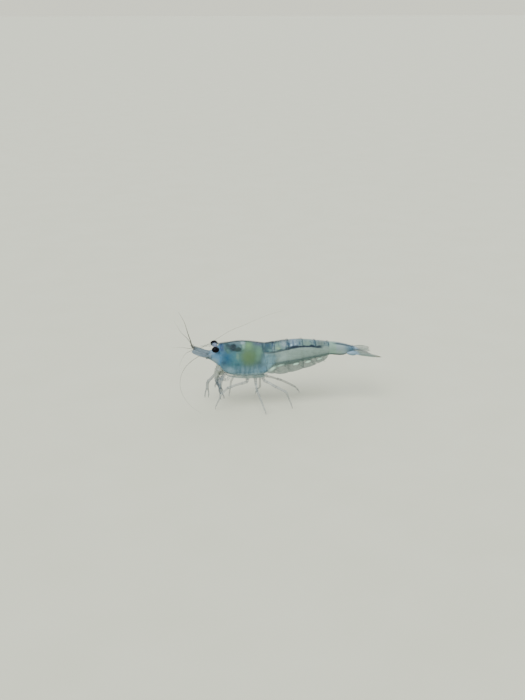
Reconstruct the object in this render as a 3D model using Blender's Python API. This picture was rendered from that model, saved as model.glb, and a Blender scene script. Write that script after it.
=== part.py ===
"""A dwarf freshwater shrimp (Neocaridina davidi) standing on its walking legs, life size.

The animal faces -X, its left side is -Y and the floor is Z = 0. Every size below is in
millimetres and is multiplied by MM when a mesh is made. The body is drawn by a few curves
along X (back line, belly line, half width), so each shell plate is a length of the same form.
"""

import math

import bmesh
import bpy
from mathutils import Vector

MM = 0.001
GAP = 0.12  # clear space between neighbouring solids
BLADE = 0.25  # half the thickness of fins, feelers and scales
SIDES = (("left", -1), ("right", 1))

# Body curves, as (x, value) points. The carapace ends at x = 0 and the head points to -X.
BACK_LINE = [(-7.2, 9.57), (-5.0, 9.86), (-3.7, 9.93), (-2.4, 9.81), (-0.4, 9.5), (0.8, 9.54), (3.0, 9.75),
             (5.0, 9.83), (7.5, 9.55), (9.0, 9.32), (11.0, 8.97), (12.8, 8.4)]
CARAPACE_EDGE = [(-7.2, 6.6), (-6.8, 5.9), (-6.3, 5.2), (-5.5, 4.73), (-4.0, 4.5), (-2.3, 4.42),
                 (-0.9, 4.46), (0.0, 4.75)]
PLEURA_EDGE = [(0.0, 5.2), (1.8, 5.05), (3.2, 5.2), (5.0, 5.6), (7.0, 6.1), (8.4, 6.7), (9.0, 7.1)]
BELLY_LINE = [(0.0, 6.1), (1.8, 6.5), (4.3, 6.8), (7.3, 7.1), (9.0, 7.22), (10.9, 7.0), (12.8, 7.22)]
HALF_WIDTH = [(-7.2, 1.2), (-6.0, 1.52), (-4.5, 1.8), (-3.0, 1.9), (-1.5, 1.82), (0.0, 1.62), (2.0, 1.65),
              (4.0, 1.6), (6.0, 1.42), (8.0, 1.18), (9.5, 0.98), (11.0, 0.86), (12.8, 0.74)]

CARAPACE_FRONT = -7.15
SOMITE_JOINTS = [0.0, 1.05, 3.05, 5.25, 7.05, 8.95]  # front edges of the six abdominal rings
TAIL_ROOT = 12.8
PLEURA_WALL = 0.5
SHIELD_MIDDLE = 0.44  # where the head shield is widest, as a share of its height
SHIELD_TOP_POWER, SHIELD_BOTTOM_POWER = 2.1, 5.0

EYE = (-7.52, 1.38, 9.15)
EYE_SIZE = (0.55, 0.48, 0.43)  # half sizes: an eye is wider than it is high

FOOT_HEIGHT = 0.35  # the last, upright length of a walking leg

# Walking legs: body joint (x, y), knee, wrist and foot (x, y) of each.
WALKING_LEGS = {
    "left": {
        3: ((-2.9, -1.0), (-5.95, -3.0, 3.85), (-6.85, -2.6, 2.75), (-7.7, -1.7)),
        4: ((-1.75, -1.0), (-1.8, -3.3, 3.3), (-1.25, -3.85, 1.9), (-0.65, -4.5)),
        5: ((-0.7, -1.0), (1.05, -2.5, 3.45), (2.5, -3.05, 2.75), (3.4, -2.9)),
    },
    "right": {
        3: ((-2.9, 1.0), (-4.4, 2.8, 3.6), (-4.95, 2.95, 2.5), (-5.3, 2.8)),
        4: ((-1.75, 1.0), (-0.65, 2.75, 3.2), (-0.68, 2.45, 1.62), (-1.3, 3.2)),
        5: ((-0.7, 1.0), (2.4, 2.0, 2.7), (4.6, 2.75, 1.25), (5.35, 3.05)),
    },
}
# Claw legs: body joint (x, y), elbow, wrist and the middle of the open finger tips.
CLAW_LEGS = {
    "left": {
        1: ((-6.12, -0.72), (-6.95, -1.0, 4.6), (-7.05, -1.02, 3.6), (-6.75, -0.95, 2.4)),
        2: ((-5.6, -1.05), (-6.7, -1.6, 4.65), (-7.0, -1.72, 3.4), (-6.65, -1.6, 1.6)),
    },
    "right": {
        1: ((-6.12, 0.72), (-7.0, 1.03, 4.6), (-7.2, 1.05, 3.6), (-7.25, 1.0, 2.4)),
        2: ((-5.6, 1.05), (-7.3, 1.7, 4.3), (-8.55, 1.75, 3.0), (-8.72, 1.75, 0.6)),
    },
}

ANTENNULE_WHIPS = {
    "outer_left": [(-10.82, -0.5, 9.42), (-10.99, -0.62, 10.3), (-11.35, -0.75, 11.5), (-11.8, -0.9, 13.2),
                   (-12.6, -1.15, 14.9)],
    "inner_left": [(-10.8, -0.26, 8.78), (-11.7, -0.65, 8.5), (-12.3, -1.0, 7.8), (-12.75, -1.5, 6.9)],
    "outer_right": [(-10.82, 0.56, 9.42), (-11.4, 0.95, 10.2), (-12.3, 1.7, 11.0), (-13.1, 2.6, 12.3)],
    "inner_right": [(-10.8, 0.26, 8.85), (-11.7, 0.5, 8.92), (-12.6, 0.95, 8.9), (-13.5, 1.6, 8.6)],
}
ANTENNA_WHIPS = {
    "left": [(-9.72, -0.68, 8.05), (-10.7, -1.5, 7.8), (-11.8, -2.8, 7.35), (-12.6, -4.2, 6.5),
             (-12.8, -5.3, 5.2), (-12.3, -5.9, 3.8), (-11.3, -6.1, 2.5), (-10.0, -6.0, 1.4)],
    "right": [(-9.72, 0.68, 8.05), (-10.5, 1.4, 7.85), (-10.4, 2.2, 7.85), (-9.2, 2.5, 8.2),
              (-7.7, 2.55, 8.95), (-5.15, 2.85, 10.4), (-2.7, 3.8, 11.0), (0.4, 5.2, 11.75),
              (3.4, 5.7, 12.4)],
}
# Uropods: root (y, z), tip and half width of each.
UROPODS = {
    "inner_left": ((-0.62, 7.6), (16.15, -1.15, 7.0), 0.32),
    "outer_left": ((-1.2, 7.6), (16.65, -2.15, 7.2), 0.42),
    "inner_right": ((0.62, 7.6), (16.15, 1.5, 6.95), 0.37),
    "outer_right": ((1.2, 7.6), (16.35, 2.95, 6.95), 0.46),
}
# Swimmerets: where each pair's root lies and how long it is, as a share of the first.
PLEOPODS = [(0.55, 1.0), (2.15, 1.0), (4.1, 1.0), (6.05, 0.8), (7.75, 0.6)]


def clear_scene():
    for obj in list(bpy.data.objects):
        bpy.data.objects.remove(obj)


def smooth(points):
    """The height at x of a smooth curve through (x, height) points, with Catmull-Rom slopes."""

    def slope(i):
        a, b = max(i - 1, 0), min(i + 1, len(points) - 1)
        return (points[b][1] - points[a][1]) / (points[b][0] - points[a][0])

    def height(x):
        x = min(max(x, points[0][0]), points[-1][0])
        i = max(k for k in range(len(points) - 1) if points[k][0] <= x)
        (x0, y0), (x1, y1) = points[i], points[i + 1]
        run = x1 - x0
        t = (x - x0) / run
        return (
            y0 * (1 + 2 * t) * (1 - t) ** 2
            + slope(i) * run * t * (1 - t) ** 2
            + y1 * t * t * (3 - 2 * t)
            - slope(i + 1) * run * t * t * (1 - t)
        )

    return height


back_line, carapace_edge, pleura_edge = smooth(BACK_LINE), smooth(CARAPACE_EDGE), smooth(PLEURA_EDGE)
belly_line, half_width = smooth(BELLY_LINE), smooth(HALF_WIDTH)


def spline(points, steps):
    """A smooth path through 3D points, with that many steps between each two."""
    knots = [Vector(p) for p in points]
    path = []
    for i in range(len(knots) - 1):
        before = knots[i - 1] if i else knots[0] * 2 - knots[1]
        after = knots[i + 2] if i + 2 < len(knots) else knots[-1] * 2 - knots[-2]
        a, b = knots[i], knots[i + 1]
        for step in range(steps):
            t = step / steps
            path.append(
                0.5 * (2 * a + (b - before) * t + (2 * before - 5 * a + 4 * b - after) * t * t
                       + (3 * a - before - 3 * b + after) * t ** 3)
            )
    path.append(knots[-1])
    return path


def rounded(points, radius, steps=3):
    """A path of straight lengths whose corners are rounded off over that distance."""
    knots = [Vector(p) for p in points]
    path = [knots[0]]
    for before, corner, after in zip(knots, knots[1:], knots[2:]):
        reach = min(radius, (corner - before).length * 0.45, (after - corner).length * 0.45)
        a = corner + (before - corner).normalized() * reach
        b = corner + (after - corner).normalized() * reach
        for step in range(steps + 1):
            t = step / steps
            path.append(a * (1 - t) ** 2 + corner * 2 * t * (1 - t) + b * t * t)
    path.append(knots[-1])
    return path


def ellipse_power(angle, power):
    """The (side, up) point of a superellipse, from straight up at angle 0."""
    side, up = math.sin(angle), math.cos(angle)
    return (
        math.copysign(abs(side) ** (2 / power), side),
        math.copysign(abs(up) ** (2 / power), up),
    )


def add_to(obj, collection, material=None):
    bpy.data.collections[collection].objects.link(obj)
    if material is not None:
        obj.data.materials.append(material)
    return obj


def loft(name, rings, material):
    """A closed solid through rings of points, its origin at the middle of the first ring."""
    origin = sum(rings[0], Vector()) / len(rings[0])
    bm = bmesh.new()
    rows = [[bm.verts.new((p - origin) * MM) for p in ring] for ring in rings]
    count = len(rows[0])
    for near, far in zip(rows, rows[1:]):
        for i in range(count):
            j = (i + 1) % count
            bm.faces.new((near[i], near[j], far[j], far[i]))
    caps = [bm.faces.new(rows[0]), bm.faces.new(rows[-1][::-1])]
    bmesh.ops.triangulate(bm, faces=caps, ngon_method="EAR_CLIP")
    bmesh.ops.recalc_face_normals(bm, faces=bm.faces)
    mesh = bpy.data.meshes.new(name)
    bm.to_mesh(mesh)
    bm.free()
    mesh.shade_smooth()
    mesh.set_sharp_from_angle(angle=math.radians(40))
    obj = add_to(bpy.data.objects.new(name, mesh), "shrimp", material)
    obj.location = origin * MM
    return obj


def blade(name, path, across, widths, material, thickness=BLADE, count=10):
    """A flat leaf along a path. across points to its right edge, and widths are its half widths."""
    rings = []
    for i, centre in enumerate(path):
        along = (path[min(i + 1, len(path) - 1)] - path[max(i - 1, 0)]).normalized()
        side = (across - along * across.dot(along)).normalized()
        up = side.cross(along)
        ring = []
        for k in range(count):
            s, u = ellipse_power(2 * math.pi * (k + 0.5) / count, 2.6)
            ring.append(centre + side * s * widths[i] + up * u * thickness)
        rings.append(ring)
    return loft(name, rings, material)


def leaf(root, tip, widest, steps=7):
    """The path and half widths of a leaf shape: narrow root, widest past the middle, narrow tip."""
    path = [root.lerp(tip, i / (steps - 1)) for i in range(steps)]
    widths = []
    for i in range(steps):
        swell = math.sin(math.pi * (0.16 + 0.74 * i / (steps - 1))) ** 0.8
        widths.append(max(BLADE, widest * swell))
    return path, widths


def tube(name, path, radii, material, collection="shrimp"):
    """A round limb or feeler: a poly curve with filled caps whose radius follows radii."""
    curve = bpy.data.curves.new(name, "CURVE")
    curve.dimensions = "3D"
    curve.bevel_depth = MM
    curve.bevel_resolution = 2
    curve.use_fill_caps = True
    line = curve.splines.new("POLY")
    line.points.add(len(path) - 1)
    for i, point in enumerate(path):
        share = i / (len(path) - 1) * (len(radii) - 1)
        k = min(int(share), len(radii) - 2)
        line.points[i].co = (*((point - path[0]) * MM), 1)
        line.points[i].radius = radii[k] + (radii[k + 1] - radii[k]) * (share - k)
    obj = add_to(bpy.data.objects.new(name, curve), collection, material)
    obj.location = path[0] * MM
    return obj


def as_mesh(obj):
    """The curve object's solid as a mesh object of the same name and place."""
    bpy.context.view_layer.update()
    graph = bpy.context.evaluated_depsgraph_get()
    mesh = bpy.data.meshes.new_from_object(obj.evaluated_get(graph))
    bm = bmesh.new()
    bm.from_mesh(mesh)
    bmesh.ops.remove_doubles(bm, verts=bm.verts, dist=0.005 * MM)
    bmesh.ops.recalc_face_normals(bm, faces=bm.faces)
    bm.to_mesh(mesh)
    bm.free()
    name, collection, place = obj.name, obj.users_collection[0], obj.matrix_world.copy()
    bpy.data.objects.remove(obj)
    made = bpy.data.objects.new(name, mesh)
    collection.objects.link(made)
    made.matrix_world = place
    return made


def material(name, colour, roughness=0.3, alpha=1.0):
    made = bpy.data.materials.new(name)
    made.use_nodes = True
    shader = made.node_tree.nodes["Principled BSDF"]
    shader.inputs["Base Color"].default_value = (*colour, 1)
    shader.inputs["Roughness"].default_value = roughness
    shader.inputs["Metallic"].default_value = 0.0
    shader.inputs["Alpha"].default_value = alpha
    return made


def shield_heights(x):
    """The top, the widest place and the bottom of the head shield."""
    top, bottom = back_line(x), carapace_edge(x)
    return top, bottom + (top - bottom) * SHIELD_MIDDLE, bottom


def carapace_ring(x, shrink=1.0, count=24):
    """A cross-section of the head shield: widest below the middle, flatter underneath."""
    top, middle, bottom = shield_heights(x)
    ring = []
    for k in range(count):
        angle = 2 * math.pi * k / count
        above = math.cos(angle) > 0
        side, up = ellipse_power(angle, SHIELD_TOP_POWER if above else SHIELD_BOTTOM_POWER)
        reach = top - middle if above else middle - bottom
        ring.append(Vector((x, side * half_width(x) * shrink, middle + up * reach * shrink)))
    return ring


def oval_ring(x, top, bottom, width, power, count=16):
    """A cross-section that is the same above and below, with that half width."""
    ring = []
    for k in range(count):
        side, up = ellipse_power(2 * math.pi * k / count, power)
        ring.append(Vector((x, side * width, (top + bottom) / 2 + up * (top - bottom) / 2)))
    return ring


def build_carapace(shell):
    stations = [CARAPACE_FRONT, -6.9, -6.5, -6.0, -5.4, -4.7, -4.0, -3.2, -2.4, -1.7, -1.1, -0.6, -0.3, -GAP]
    shrinks = {CARAPACE_FRONT: 0.9, -GAP: 0.96}
    loft("carapace", [carapace_ring(x, shrinks.get(x, 1.0)) for x in stations], shell)


def build_rostrum(shell):
    """The beak between the eyes: a flat side outline with teeth along its top, extruded."""
    root, tip = Vector((CARAPACE_FRONT - GAP, 9.42)), Vector((-9.75, 9.24))
    teeth, depth, tooth = 9, 0.42, 0.09
    along = (tip - root) / teeth
    top, bottom = [], []
    for i in range(teeth):
        edge = root + along * i
        half = Vector((0, depth / 2 * (1 - i / teeth) ** 0.7))
        top += [edge + half, edge + along * 0.75 + half + Vector((0, tooth))]
        bottom += [edge - half]
    outline = top + [tip] + bottom[::-1]
    curve = bpy.data.curves.new("rostrum", "CURVE")
    curve.dimensions = "2D"
    curve.fill_mode = "BOTH"
    curve.extrude = BLADE * 0.8 * MM
    line = curve.splines.new("POLY")
    line.use_cyclic_u = True
    line.points.add(len(outline) - 1)
    for point, place in zip(line.points, outline):
        point.co = (place.x * MM, place.y * MM, 0, 1)
    obj = add_to(bpy.data.objects.new("rostrum", curve), "shrimp", shell)
    obj.rotation_euler = (math.radians(90), 0, 0)


def build_head(shell):
    """The block of the face in front of the shield, which carries eyes, feelers and mouth."""
    stations = [(-7.27, 8.72, 6.6, 1.12), (-7.7, 8.6, 7.0, 1.05), (-8.15, 8.52, 7.45, 0.95),
                (-8.55, 8.5, 7.8, 0.85)]
    loft("head", [oval_ring(*station, power=2.5) for station in stations], shell)


def build_eyes(cornea, shell):
    for name, side in SIDES:
        place = Vector((EYE[0], EYE[1] * side, EYE[2]))
        mesh = bpy.data.meshes.new("eye_" + name)
        bm = bmesh.new()
        bmesh.ops.create_uvsphere(bm, u_segments=16, v_segments=9, radius=MM)
        bmesh.ops.scale(bm, vec=(EYE_SIZE[0], EYE_SIZE[2], EYE_SIZE[1]), verts=bm.verts)
        bm.to_mesh(mesh)
        bm.free()
        mesh.shade_smooth()
        eye = add_to(bpy.data.objects.new("eye_" + name, mesh), "shrimp", cornea)
        eye.location = place * MM
        eye.rotation_euler = (math.radians(90), 0, 0)
        inner = Vector((-7.56, 0.3 * side, 9.0))
        outer = place + (inner - place).normalized() * (EYE_SIZE[1] + 0.08)
        tube("eyestalk_" + name, [inner, inner.lerp(outer, 0.5), outer], [BLADE, 0.28, 0.36], shell)


def build_feeler_bases(shell):
    """The stems of the antennules and antennae, and the flat scale over each antenna's stem."""
    tilt = Vector((0, math.cos(0.5), -math.sin(0.5)))
    for name, side in SIDES:
        base, end = Vector((-8.7, 0.33 * side, 8.66)), Vector((-10.55, 0.36 * side, 9.02))
        tube("antennule_" + name, [base, base.lerp(end, 0.5), end], [0.27, BLADE, BLADE], shell)
        base, end = Vector((-8.72, 0.55 * side, 7.97)), Vector((-9.5, 0.62 * side, 8.06))
        tube("antenna_base_" + name, [base, base.lerp(end, 0.5), end], [BLADE, BLADE * 1.05, BLADE], shell)
        root = Vector((-8.72, 1.08 * side, 8.32))
        path, widths = leaf(root, root + Vector((-2.2, 0.12 * side, 0.67)), 0.54)
        blade("antenna_scale_" + name, path, Vector((1, side, 1)) * tilt, widths, shell)


def build_whips(feeler):
    """The two short whips of each antennule, and the long whip of each antenna in two lengths."""
    for name, points in ANTENNULE_WHIPS.items():
        tube("antennule_whip_" + name, spline(points, 3), [BLADE, BLADE], feeler)
    for name, points in ANTENNA_WHIPS.items():
        path = spline(points, 3)
        cut = len(path) // 2
        gap = (path[cut + 1] - path[cut]).normalized() * 1.5 * GAP
        tube(f"antenna_{name}_near", path[: cut + 1], [BLADE * 1.1, BLADE], feeler)
        tube(f"antenna_{name}_far", [path[cut] + gap] + path[cut + 1:], [BLADE, BLADE], feeler)


def underside(x, y):
    """The height of the head shield's underside."""
    _, middle, bottom = shield_heights(x)
    inward = 1 - abs(y / half_width(x)) ** SHIELD_BOTTOM_POWER
    return middle - (middle - bottom) * inward ** (1 / SHIELD_BOTTOM_POWER)


def belly_joint(x, y, step=0.05):
    """The point just below the shield at (x, y), and the way straight out of it."""
    along = (underside(x + step, y) - underside(x - step, y)) / (2 * step)
    across = (underside(x, y + step) - underside(x, y - step)) / (2 * step)
    out = Vector((along, across, -1)).normalized()
    return Vector((x, y, underside(x, y))) + out * GAP, out


def build_mouth_legs(limb):
    """The leg-like third maxillipeds, which hang folded in front of the claws."""
    for name, side in SIDES:
        root, out = belly_joint(-6.75, 0.42 * side)
        bends = [(-7.3, 0.42 * side, 4.9), (-7.35, 0.42 * side, 3.9), (-7.1, 0.42 * side, 2.9)]
        path = rounded([root, root + out * 0.45, *bends], 0.3)
        tube("maxilliped_" + name, path, [0.33, 0.32, 0.27, BLADE], limb)


def build_claw_legs(limb):
    """Two pairs of short legs that end in a claw. Its second finger is joined on by a union."""
    for name, _ in SIDES:
        for number, ((x, y), elbow, wrist, tip) in CLAW_LEGS[name].items():
            root, out = belly_joint(x, y)
            elbow, wrist, tip = Vector(elbow), Vector(wrist), Vector(tip)
            reach = tip - wrist
            palm = wrist + reach * 0.42
            spread = reach.cross(Vector((0, 1, 0))).normalized() * 0.3
            path = rounded([root, root + out * 0.4, elbow, wrist, palm, tip + spread], 0.3)
            arm = tube(f"claw_leg_{number}_{name}", path, [0.3, 0.27, 0.27, 0.3, 0.3, 0.22], limb)
            path = [palm - reach * 0.08, palm.lerp(tip - spread, 0.4), tip - spread]
            finger = tube(f"finger_{number}_{name}", path, [0.2, 0.24, 0.22], limb, "cutters")
            arm, finger = as_mesh(arm), as_mesh(finger)
            finger.hide_render = True
            finger.display_type = "WIRE"
            join = arm.modifiers.new("finger", "BOOLEAN")
            join.operation = "UNION"
            join.object = finger


def build_walking_legs(limb):
    """Three pairs of long legs. Each is cut just above its knee and stands on a small flat."""
    for name, _ in SIDES:
        for number, ((x, y), knee, wrist, foot) in WALKING_LEGS[name].items():
            root, out = belly_joint(x, y)
            knee, wrist, foot = Vector(knee), Vector(wrist), Vector((*foot, 0))
            hip = root + out * 0.45
            thigh = (knee - hip).normalized()
            cut = knee - thigh * 0.5
            ankle = foot + Vector((0, 0, FOOT_HEIGHT))
            tube(f"leg_{number}_upper_{name}", rounded([root, hip, cut], 0.3), [0.3, 0.32, 0.27], limb)
            path = rounded([cut + thigh * GAP, knee, wrist, ankle, foot], 0.2, 2)
            tube(f"leg_{number}_lower_{name}", path, [0.27, 0.26, BLADE], limb)


def somite_ring(x, lobe, flare):
    """A cross-section of an abdominal ring: an arch whose two side flaps hang below the belly."""
    top, belly, width = back_line(x), belly_line(x), half_width(x) * flare
    edge = min(pleura_edge(x) + lobe, belly - 0.15)
    middle = belly + (top - belly) * 0.4
    half = []
    for k in range(7):
        side, up = ellipse_power(math.pi / 2 * k / 6, 2.2)
        half.append((side * width, middle + up * (top - middle)))
    inner = width * 0.93 - PLEURA_WALL
    half += [(width, middle + (edge - middle) * 0.55), (width * 0.93, edge)]
    half += [(inner, edge), (inner * 0.97, (edge + belly) / 2), (inner * 0.8, belly)]
    right = [Vector((x, y, z)) for y, z in half]
    left = [Vector((x, -y, z)) for y, z in half[1:]]
    return right + [Vector((x, 0, belly - 0.02))] + left[::-1]


def build_abdomen(shell):
    """Five rings with side flaps that are rounded at both ends, and a sixth without flaps."""
    for i, (start, stop) in enumerate(zip(SOMITE_JOINTS, SOMITE_JOINTS[1:])):
        start, stop = start + GAP / 2, stop - GAP / 2
        rings = []
        for t in (0, 0.12, 0.3, 0.55, 0.8, 0.93, 1):
            lobe = 0.75 * abs(2 * t - 1) ** 3.5
            rings.append(somite_ring(start + (stop - start) * t, lobe, 0.97 + 0.04 * t))
        loft(f"abdomen_{i + 1}", rings, shell)
    start = SOMITE_JOINTS[-1] + GAP / 2
    rings = []
    for step in range(7):
        x = start + (TAIL_ROOT - start) * step / 6
        rings.append(oval_ring(x, back_line(x), belly_line(x), half_width(x), 2.2))
    loft("abdomen_6", rings, shell)


def build_tail_fan(fin):
    """The telson, over two pairs of uropods. The left pair is nearly shut, the right stands open."""
    level = Vector((0, 1, 0))
    root_x = TAIL_ROOT + 2 * GAP
    root, tip = Vector((root_x, 0, 8.14)), Vector((15.8, 0, 6.85))
    widths = [0.36, 0.42, 0.4, 0.36, 0.31, 0.27, BLADE]
    blade("telson", [root.lerp(tip, i / 6) for i in range(7)], level, widths, fin)
    for name, (start, tip, width) in UROPODS.items():
        path, widths = leaf(Vector((root_x, *start)), Vector(tip), width)
        blade("uropod_" + name, path, level, widths, fin)


def build_pleopods(limb):
    """Five pairs of swimmerets: parallel slats that lean back from the belly."""
    fall = Vector((1.5, 0.05, -0.9))
    for number, (x, share) in enumerate(PLEOPODS, 1):
        room = min(half_width(x + 1) * 0.93 - PLEURA_WALL, 1.0)
        half = max(BLADE * 0.85, room * 0.36)
        widths = [half * share for share in (0.8, 0.95, 1, 0.95, 0.6)]
        for name, side in SIDES:
            root = Vector((x, side * (0.08 + room * 0.46), belly_line(x) - GAP - 0.25))
            path = [root + fall * Vector((1, side, 1)) * (share * i / 4) for i in range(5)]
            blade(f"pleopod_{number}_{name}", path, Vector((0, 1, 0)), widths, limb, count=8)


def stand_on_origin():
    """Moves everything so that the middle of the model's box stands on the origin."""
    frame = bpy.data.objects.new("shrimp_frame", None)
    bpy.data.collections["shrimp"].objects.link(frame)
    bpy.context.view_layer.update()
    graph = bpy.context.evaluated_depsgraph_get()
    corners = []
    for obj in bpy.data.collections["shrimp"].objects:
        if obj.type != "EMPTY":
            mesh = obj.evaluated_get(graph).to_mesh()
            corners += [obj.matrix_world @ v.co for v in mesh.vertices]
    low = Vector([min(c[i] for c in corners) for i in range(3)])
    high = Vector([max(c[i] for c in corners) for i in range(3)])
    for obj in bpy.data.objects:
        if obj is not frame:
            obj.parent = frame
    frame.location = (-(low.x + high.x) / 2, -(low.y + high.y) / 2, -low.z)


def main():
    clear_scene()
    for name in ("shrimp", "cutters"):
        collection = bpy.data.collections.new(name)
        bpy.context.scene.collection.children.link(collection)
    shell = material("shell", (0.16, 0.36, 0.5), 0.25)
    limb = material("limb", (0.42, 0.5, 0.52), 0.35, 0.8)
    fin = material("fin", (0.35, 0.5, 0.56), 0.3, 0.7)
    feeler = material("feeler", (0.4, 0.42, 0.36), 0.4)
    cornea = material("cornea", (0.01, 0.01, 0.012), 0.08)
    build_carapace(shell)
    build_rostrum(shell)
    build_head(shell)
    build_eyes(cornea, shell)
    build_feeler_bases(shell)
    build_whips(feeler)
    build_mouth_legs(limb)
    build_claw_legs(limb)
    build_walking_legs(limb)
    build_abdomen(shell)
    build_tail_fan(fin)
    build_pleopods(limb)
    stand_on_origin()


main()
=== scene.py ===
"""The looks of a dwarf freshwater shrimp (Neocaridina davidi), life size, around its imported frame.

Points are worked out in the design's millimetres: x = 0 at the rear of the head shield, the head
towards -X, the left side at -Y and the floor at z = 0. SHIFT carries them into the frame. The body
is drawn by the same curves along X as the solids, so each shell plate lies where its solid lies.
The shell is thin and see-through, and the painted organs and muscle lie under it.
"""

import math

import bpy
import numpy as np
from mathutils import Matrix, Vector


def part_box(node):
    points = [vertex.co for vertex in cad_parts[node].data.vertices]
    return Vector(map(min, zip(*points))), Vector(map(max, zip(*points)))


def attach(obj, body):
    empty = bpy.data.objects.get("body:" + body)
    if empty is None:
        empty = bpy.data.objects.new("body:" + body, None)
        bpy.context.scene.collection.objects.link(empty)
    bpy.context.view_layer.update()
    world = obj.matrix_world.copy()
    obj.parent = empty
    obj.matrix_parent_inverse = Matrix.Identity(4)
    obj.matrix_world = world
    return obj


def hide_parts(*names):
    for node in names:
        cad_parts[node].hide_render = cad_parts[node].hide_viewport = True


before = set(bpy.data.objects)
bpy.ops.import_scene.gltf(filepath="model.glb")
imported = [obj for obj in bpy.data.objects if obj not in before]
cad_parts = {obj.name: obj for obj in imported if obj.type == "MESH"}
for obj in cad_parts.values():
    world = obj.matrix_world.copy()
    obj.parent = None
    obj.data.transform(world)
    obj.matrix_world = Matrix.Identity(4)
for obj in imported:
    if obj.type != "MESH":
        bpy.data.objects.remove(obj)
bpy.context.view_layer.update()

MM = 0.001
GAP = 0.12  # clear space between neighbouring solids
SIDES = (("left", -1), ("right", 1))


def shift_from_frame():
    """Where the design's zero point lies in the frame, in millimetres."""
    low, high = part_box("carapace")
    return np.array([high.x / MM + GAP, (low.y + high.y) / 2 / MM, 0.0])


SHIFT = shift_from_frame()

# ---------------------------------------------------------------- body curves and places, in millimetres


def smooth(points):
    """A smooth curve through (x, value) points, as a function of one x or of an array of them."""
    xs, ys = np.array(points, float).T
    wide_xs, wide_ys = np.pad(xs, 1, "edge"), np.pad(ys, 1, "edge")
    slopes = (wide_ys[2:] - wide_ys[:-2]) / (wide_xs[2:] - wide_xs[:-2])

    def value(x):
        x = np.clip(x, xs[0], xs[-1])
        i = np.clip(np.searchsorted(xs, x, side="right") - 1, 0, len(xs) - 2)
        run = xs[i + 1] - xs[i]
        t = (x - xs[i]) / run
        swing = run * t * (1 - t) * (slopes[i] * (1 - t) - slopes[i + 1] * t)
        return ys[i] + (ys[i + 1] - ys[i]) * t * t * (3 - 2 * t) + swing

    return value


back_line = smooth([(-7.2, 9.57), (-5.0, 9.86), (-3.7, 9.93), (-2.4, 9.81), (-0.4, 9.5), (0.8, 9.54),
                    (3.0, 9.75), (5.0, 9.83), (7.5, 9.55), (9.0, 9.32), (11.0, 8.97), (12.8, 8.4)])
carapace_edge = smooth([(-7.2, 6.6), (-6.8, 5.9), (-6.3, 5.2), (-5.5, 4.73), (-4.0, 4.5), (-2.3, 4.42),
                        (-0.9, 4.46), (0.0, 4.75)])
flap_edge = smooth([(0.0, 5.2), (1.8, 5.05), (3.2, 5.2), (5.0, 5.6), (7.0, 6.1), (8.4, 6.7), (9.0, 7.1)])
belly_line = smooth([(0.0, 6.1), (1.8, 6.5), (4.3, 6.8), (7.3, 7.1), (9.0, 7.22), (10.9, 7.0), (12.8, 7.22)])
half_width = smooth([(-7.2, 1.2), (-6.0, 1.52), (-4.5, 1.8), (-3.0, 1.9), (-1.5, 1.82), (0.0, 1.62),
                     (2.0, 1.65), (4.0, 1.6), (6.0, 1.42), (8.0, 1.18), (9.5, 0.98), (11.0, 0.86),
                     (12.8, 0.74)])
# The dark blue stripe along the side of the tail muscle.
stripe_line = smooth([(-0.9, 8.3), (0.3, 8.37), (1.7, 8.61), (2.9, 8.86), (3.9, 9.02), (4.9, 9.09),
                      (6.1, 9.04), (7.5, 8.82), (8.6, 8.7)])
# How far the tail muscle hangs below the belly line along its sides.
muscle_hang = smooth([(-0.5, 0.5), (1.2, 0.62), (3.0, 0.52), (5.0, 0.36), (7.2, 0.16), (8.6, 0.12),
                      (9.2, 0.0), (12.8, 0.0)])

RING_JOINTS = [1.05, 3.05, 5.25, 7.05, 8.95]  # front edges of the second to the sixth abdominal ring
TAIL_ROOT = 12.8  # rear end of the sixth ring
SHIELD_MIDDLE = 0.44  # where the head shield is widest, as a share of its height
SHIELD_TOP_POWER, SHIELD_BOTTOM_POWER = 2.1, 5.0  # how boxy its section is; 2 is an ellipse
EYE = (-7.52, 1.38, 9.15)  # the right eye's centre
EYE_SIZE = (0.55, 0.48, 0.43)
EYE_CAP_START = -20  # where the black cap begins, in degrees of latitude round its gaze
FOOT_HEIGHT = 0.35
MOUTH_LEG_Y = 0.42

# Each leg's root on the underside as (x, y), its two bends, and its foot on the floor.
WALKING_LEGS = {
    (3, "left"): ((-2.9, -1.0), (-5.95, -3.0, 3.85), (-6.85, -2.6, 2.75), (-7.7, -1.7, 0)),
    (4, "left"): ((-1.75, -1.0), (-1.8, -3.3, 3.3), (-1.25, -3.85, 1.9), (-0.65, -4.5, 0)),
    (5, "left"): ((-0.7, -1.0), (1.05, -2.5, 3.45), (2.5, -3.05, 2.75), (3.4, -2.9, 0)),
    (3, "right"): ((-2.9, 1.0), (-4.4, 2.8, 3.6), (-4.95, 2.95, 2.5), (-5.3, 2.8, 0)),
    (4, "right"): ((-1.75, 1.0), (-0.65, 2.75, 3.2), (-0.68, 2.45, 1.62), (-1.3, 3.2, 0)),
    (5, "right"): ((-0.7, 1.0), (2.4, 2.0, 2.7), (4.6, 2.75, 1.25), (5.35, 3.05, 0)),
}
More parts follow.
